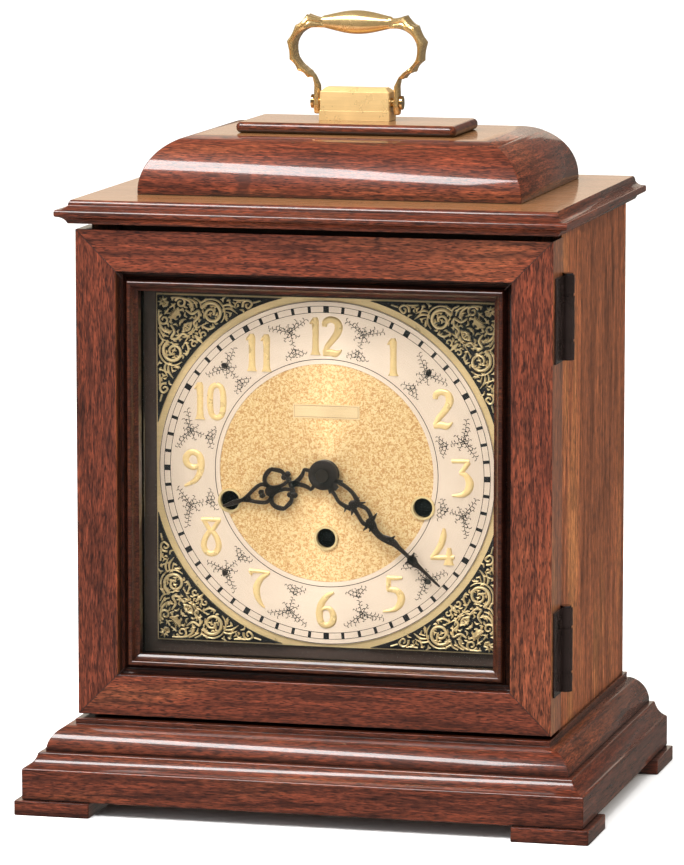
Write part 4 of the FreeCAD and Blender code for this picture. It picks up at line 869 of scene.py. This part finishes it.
def filler_leaves(paths, draw):
    """Small curled leaves in the gaps that the main strokes leave in half a corner."""
    taken = [(u, v) for path in paths for u, v, _ in smooth_path(path, 4)]
    leaves = []
    for _ in range(LEAF_TRIES):
        p, q = draw.uniform(1.0, 53.0), draw.uniform(1.0, 25.5)
        if q > p + 0.8 or not inside_outline(p, q, LEAF_CLEAR):
            continue
        if min(math.hypot(p - u, q - v) for u, v in taken) < LEAF_GAP:
            continue
        heading = draw.uniform(0, 2 * math.pi)
        bend = heading + draw.choice((-1, 1)) * 1.1
        reach = draw.uniform(0.8, 1.5)
        knee = polar((p, q), reach, heading)
        leaf = [(p, q, 0.35), (*knee, 0.85), (*polar(knee, reach, bend), 0.25)]
        leaves.append(leaf)
        taken.extend((u, v) for u, v, _ in smooth_path(leaf, 3))
    return leaves


def trimmed(paths):
    """Paths of half a corner without their points past the concave outline, each end thinned."""
    kept = []
    for path in paths:
        inside = [point for point in path if inside_outline(*point[:2], STROKE_CLEAR)]
        if len(inside) > 1:
            kept.append(inside[:-1] + [(*inside[-1][:2], inside[-1][2] * 0.6)])
    return kept


def build_spandrels():
    """Four relief corners, each symmetrical about its diagonal."""
    relief = Shell()
    crown = [[(11.4, 15.2, 0.7), (12.4, 12.4, 0.9), (15.2, 11.4, 0.7)],
             [(11.4, 15.2, 0.7), (14.2, 14.2, 0.9), (15.2, 11.4, 0.7)],
             [(12.6, 12.6, 0.6), (14.0, 14.0, 0.6)],
             [(16.6, 16.6, 0.9), (18.4, 18.4, 1.4), (20.0, 20.0, 0.5)]]
    half = trimmed(heavier(spandrel_half(), SPANDREL_WEIGHT))
    half += filler_leaves(half, random.Random(5))
    mirrored = [[(q, p, width) for p, q, width in path] for path in half]
    for across in (-1, 1):
        for up in (-1, 1):
            for path in half + mirrored + crown:
                placed = [(across * (SPANDREL_EDGE - p), up * (SPANDREL_EDGE - q), width)
                          for p, q, width in path]
                relief.stroke(placed, ROUND, SPANDREL_HEIGHT, SPANDREL_FRONT, steps=4)
    gold = metal("relief_gold", (0.93, 0.72, 0.38), 0.3, None, 0.2, 0.45)
    relief.build("spandrel_relief", gold, "case")


# Width and height of each fine line, and how far it keeps from the edges about it.
JOINT_WIDTH, JOINT_HEIGHT, JOINT_INSET = 0.3, 0.03, 0.5
BORDER_WIDTH, BORDER_HEIGHT, BORDER_INSET = 0.14, 0.04, 0.6


def build_mitre_lines():
    """The fine dark joint lines at the door's four corners."""
    stile_low, stile_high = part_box("door_stile_left")
    right_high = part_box("door_stile_right")[1]
    rail_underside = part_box("door_rail_top")[0].z
    far = (stile_high.z - rail_underside) / MM - JOINT_INSET
    shell = Shell()
    left, right = (stile_low.x - DIAL_X) / MM, (right_high.x - DIAL_X) / MM
    bottom, top = (stile_low.z - DIAL_Z) / MM, (stile_high.z - DIAL_Z) / MM
    for u, across in ((left, 1), (right, -1)):
        for v, up in ((bottom, 1), (top, -1)):
            line = [(u + across * reach, v + up * reach, JOINT_WIDTH) for reach in (JOINT_INSET, far)]
            shell.stroke(line, SLAB, JOINT_HEIGHT, stile_low.y)
    dark = lacquer("joint_line", (0.02, 0.007, 0.005), 0.5)
    shell.build("door_mitre_lines", dark, "door", smooth=False)


def build_plaque_border(ink):
    """A fine line round the blank name plaque."""
    low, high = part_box("name_plaque")
    left, right = (low.x - DIAL_X) / MM + BORDER_INSET, (high.x - DIAL_X) / MM - BORDER_INSET
    bottom, top = (low.z - DIAL_Z) / MM + BORDER_INSET, (high.z - DIAL_Z) / MM - BORDER_INSET
    shell = Shell()
    for start, end in (((left, bottom), (right, bottom)), ((left, top), (right, top)),
                       ((left, bottom), (left, top)), ((right, bottom), (right, top))):
        shell.stroke([(*start, BORDER_WIDTH), (*end, BORDER_WIDTH)], SLAB, BORDER_HEIGHT, low.y)
    shell.build("plaque_border", ink, "case", smooth=False)


# ---- hands

MINUTE_ANGLE, HOUR_ANGLE = 132.0, 251.0
HAND_THICKNESS, HAND_WEIGHT = 0.9, 1.28
# Outer radius of each hand's boss, the radius of its hole, and the boss's chamfer.
HOUR_BOSS, MINUTE_BOSS, BOSS_CHAMFER = (6.2, 3.65), (6.4, 2.55), 0.4


def both_sides(paths):
    """Paths and their mirror images across the hand's axis, as (across, along, width)."""
    return paths + [[(-u, v, width) for u, v, width in path] for path in paths]


def hour_hand_paths():
    """Strokes of the pierced hour hand, pointing up."""
    sides = both_sides([
        [(2.6, 5.2, 1.2), (4.2, 7.4, 1.2), (4.5, 8.6, 0.8)],
        [(4.3, 8.2, 1.0), (2.8, 9.4, 1.3), (1.2, 11.6, 1.5), (0.4, 14.4, 1.3)],
        [(0.2, 14.2, 1.2), (1.7, 16.4, 1.1), (0.9, 19.4, 1.3), (1.0, 23.0, 1.4), (2.2, 25.4, 1.5),
         (4.6, 26.2, 1.4), (6.6, 25.4, 1.5), (8.0, 23.7, 1.6), (8.9, 21.8, 1.3)],
        [(8.9, 22.0, 1.2), (7.4, 18.9, 1.5), (6.3, 17.6, 1.3), (4.6, 17.0, 1.3)],
        [(2.2, 25.2, 1.3), (3.6, 27.2, 1.3), (3.9, 28.9, 1.3), (2.9, 31.8, 1.3), (1.2, 35.2, 1.2),
         (0.2, 38.4, 0.9)],
        [(0.6, 28.0, 1.1), (0.9, 29.4, 1.5), (0.2, 30.2, 0.7)],
    ])
    blade = [(0, 34.4, 1.9), (0, 38.0, 1.2), (0, 41.0, 1.7), (0, 44.5, 1.4), (0, 47.2, 0.5)]
    neck = [(0, 11.6, 1.6), (0, 14.6, 2.2), (0, 16.6, 1.4)]
    bridge = [(0, 20.0, 1.5), (0, 23.0, 2.4), (0, 26.0, 3.4), (0, 27.4, 1.6)]
    return sides + [blade, neck, bridge]


# Strokes and discs of the serpentine minute hand, pointing up; it isn't symmetrical.
MINUTE_HAND_PATHS = [
    [(1.9, 5.2, 1.4), (2.6, 9.0, 1.2), (3.6, 12.4, 1.2), (3.1, 15.7, 1.5), (2.0, 18.4, 1.8)],
    [(-1.9, 5.2, 1.4), (-3.1, 9.5, 1.3), (-3.4, 13.1, 1.3), (-3.0, 15.8, 1.4), (-2.0, 18.6, 1.8)],
    [(2.0, 5.6, 1.4), (3.7, 7.4, 0.5)],
    [(-2.0, 5.6, 1.4), (-4.1, 7.9, 0.5)],
    [(0.2, 5.0, 3.0), (0.1, 8.4, 1.6)],
    [(0.3, 15.9, 1.2), (0.3, 17.6, 3.6), (0.1, 19.8, 3.0)],
    [(2.8, 16.2, 1.2), (5.1, 17.2, 0.3)],
    [(1.6, 19.0, 1.4), (4.0, 20.3, 0.3)],
    [(-2.6, 17.4, 1.2), (-4.0, 17.8, 0.3)],
    [(-1.6, 19.2, 1.6), (-4.3, 21.0, 0.3)],
    [(1.2, 19.2, 1.6), (2.2, 22.7, 1.2), (3.0, 26.0, 1.3), (2.2, 28.4, 1.6)],
    [(-1.2, 19.2, 1.6), (-2.5, 22.8, 1.3), (-1.9, 25.8, 1.4), (-0.4, 28.2, 1.6)],
    [(0.6, 26.3, 1.2), (0.9, 28.6, 3.2), (1.3, 31.0, 2.5)],
    [(-0.4, 28.2, 1.8), (-4.3, 27.6, 0.3)],
    [(2.2, 28.4, 1.6), (5.3, 28.4, 0.3)],
    [(2.0, 30.0, 1.2), (3.9, 30.6, 0.3)],
    [(1.2, 30.0, 2.7), (1.95, 33.0, 2.2), (1.8, 36.2, 2.2), (0.7, 39.0, 2.7), (0.0, 41.6, 2.3),
     (0.0, 45.0, 1.5), (0.0, 50.0, 1.2)],
    [(0.4, 39.4, 1.8), (-2.6, 39.8, 0.3)],
    [(0.0, 51.8, 2.2), (-3.1, 50.4, 0.3)],
    [(0.0, 51.8, 2.2), (3.0, 50.8, 0.3)],
    [(0.0, 50.0, 1.8), (0.0, 52.2, 3.2), (0.1, 54.6, 1.9), (0.0, 58.0, 1.2), (0.0, 65.5, 0.8),
     (0.0, 68.2, 0.45)],
]
MINUTE_HAND_DISCS = [(0.1, 18.2, 1.9), (1.0, 28.8, 1.8)]


def build_hand(name, node, body, angle, paths, discs, boss):
    """A pierced hand of flat strokes and discs round a bored boss, in place of its CAD node."""
    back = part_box(node)[1].y
    outer, bore = boss
    shell = Shell()
    for path in heavier(paths, HAND_WEIGHT):
        shell.stroke(turned(path, angle), FLAT, HAND_THICKNESS, back)
    for u, v, radius in discs:
        (x, z, _), = turned([(u, v, 1)], angle)
        shell.disc(x, z, radius, HAND_THICKNESS, back)
    outline = [(outer, 0), (outer, 0.75), (outer - BOSS_CHAMFER, 1), (bore, 1), (bore, 0)]
    shell.ring(outline, HAND_THICKNESS, back, steps=48)
    dark = lacquer("hand_enamel_" + name, (0.020, 0.013, 0.010), 0.32, 0.2)
    piece = shell.build(name, dark, body)
    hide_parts(node)


def build_hands():
    """Both hands at the time they show at rest."""
    club = [(3.9, 17.6, 1.25), (2.6, 15.9, 1.25), (4.7, 15.6, 1.3), (1.0, 29.4, 0.9)]
    discs = club + [(-u, v, radius) for u, v, radius in club]
    build_hand("hour_hand_pierced", "hour_hand", "hour_pipe", HOUR_ANGLE, hour_hand_paths(),
               discs, HOUR_BOSS)
    build_hand("minute_hand_pierced", "minute_hand", "minute_arbor", MINUTE_ANGLE,
               MINUTE_HAND_PATHS, MINUTE_HAND_DISCS, MINUTE_BOSS)


# ---- handle

# One side of the loop about its centre in X and Z: radius inside, radius at each pointed tip,
# and half the depth, all by angle in degrees.
LOOP_CENTRE = (16.5, 318.5)
LOOP_INSIDE = [(-80, 11.2), (-64, 9.9), (-48, 9.7), (-18, 10.5), (3, 10.7), (22, 10.9),
               (40, 10.8), (65, 10.3), (84, 9.8), (100, 9.6)]
LOOP_TIPS = [(-86, 13.4), (-69, 12.5), (-44.7, 12.5), (-17.7, 13.1), (15.9, 14.2), (47.5, 14.65),
             (72, 16.1), (100, 14.3)]
LOOP_HALF_DEPTH = [(-78, 3.4), (-66, 5.7), (62, 5.7), (96, 2.5)]
SCALLOP = 4.2
ARM_INNER, ARM_OUTER = 16.25, 18.8
# Where the strap ends inside the grip, and half its size there.
STRAP_END, STRAP_END_HALF = 13.0, 2.3
GRIP_AXIS, GRIP_END, GRIP_SWELL, GRIP_HALF = 330.65, 2.5, 2.6, 15.6
GRIP_STEPS, GRIP_SIDES = 40, 32


def between(table, at):
    """The value of a table at a place, and the share of the way through its interval."""
    for (start, low), (end, high) in zip(table, table[1:]):
        if at <= end:
            share = (at - start) / (end - start)
            return low + (high - low) * share, share
    return table[-1][1], 1.0


def bail_sections():
    """Sections of one side: inner and outer corner in X and Z, and half the depth."""
    sections = []
    bottom = BAIL_LOW.z / MM
    # The straight arm, as (height, how much each edge draws in, half the depth).
    for z, drawn_in, deep in ((bottom, 0.55, 1.2), (bottom + 0.5, 0.15, 2.3),
                              (bottom + 2.2, 0.0, 3.1), (296.5, 0.0, 3.3), (299.5, 0.1, 2.9),
                              (303.4, 0.3, 3.2)):
        sections.append(((ARM_INNER + drawn_in, z), (ARM_OUTER - drawn_in, z), deep))
    for angle in range(-78, 97, 3):
        inside, _ = between(LOOP_INSIDE, angle)
        tip, share = between(LOOP_TIPS, angle)
        outside = tip - SCALLOP * share * (1 - share)
        deep, _ = between(LOOP_HALF_DEPTH, angle)
        corners = [polar(LOOP_CENTRE, radius, math.radians(angle)) for radius in (inside, outside)]
        sections.append((*corners, deep))
    sections.append(((STRAP_END, GRIP_AXIS - STRAP_END_HALF),
                     (STRAP_END, GRIP_AXIS + STRAP_END_HALF), STRAP_END_HALF))
    return sections


# The strap's moulded section, as (share of the way outward, share of half the depth).
SECTION_SHAPE = [(0.0, -0.72), (0.12, -0.93), (0.34, -1.0), (0.46, -0.9), (0.56, -0.9), (0.66, -1.0),
                 (0.88, -0.95), (1.0, -0.75), (1.0, -0.3), (0.9, 0.0), (1.0, 0.3), (1.0, 0.75),
                 (0.88, 0.95), (0.66, 1.0), (0.56, 0.9), (0.46, 0.9), (0.34, 1.0), (0.12, 0.93),
                 (0.0, 0.72), (0.06, 0.0)]


def build_bail():
    """Two scalloped straps and a turned grip between them."""
    shell = Shell()
    for side in (-1, 1):
        rings = []
        for inner, outer, deep in bail_sections():
            rings.append([(side * (inner[0] + (outer[0] - inner[0]) * t) * MM,
                           BAIL_Y + deep * depth * MM,
                           (inner[1] + (outer[1] - inner[1]) * t) * MM)
                          for t, depth in SECTION_SHAPE])
        shell.loft(rings)
    rings = []
    for step in range(GRIP_STEPS + 1):
        x = GRIP_HALF * (2 * step / GRIP_STEPS - 1)
        swell = max(math.cos(math.pi * x / (2 * GRIP_HALF)), 0.0) ** 1.25
        radius = GRIP_END + GRIP_SWELL * swell
        if step in (0, GRIP_STEPS):
            radius = GRIP_END * 0.8
        rings.append([(x * MM, BAIL_Y + radius * math.cos(turn) * MM,
                       (GRIP_AXIS + radius * math.sin(turn)) * MM)
                      for turn in (2 * math.pi * part / GRIP_SIDES for part in range(GRIP_SIDES))])
    shell.loft(rings)
    brass = metal("bail_brass", BRASS, 0.24, None, 0.1, 0.85)
    piece = shell.build("handle_bail_cast", brass, "handle")
    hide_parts("handle_bail")


build_camera()
build_world()
build_lights()
build_floor()
paint_case()
paint_fittings()
paint_dial()
paint_movement()
ink = lacquer("dial_ink", (0.014, 0.012, 0.012), 0.5, 0.1, 0.000005)
build_numerals()
build_minute_track(ink)
build_sprays(ink)
build_spandrels()
build_plaque_border(lacquer("border_ink", (0.30, 0.17, 0.07), 0.5, 0.1, 0.000005))
build_mitre_lines()
build_hands()
build_bail()
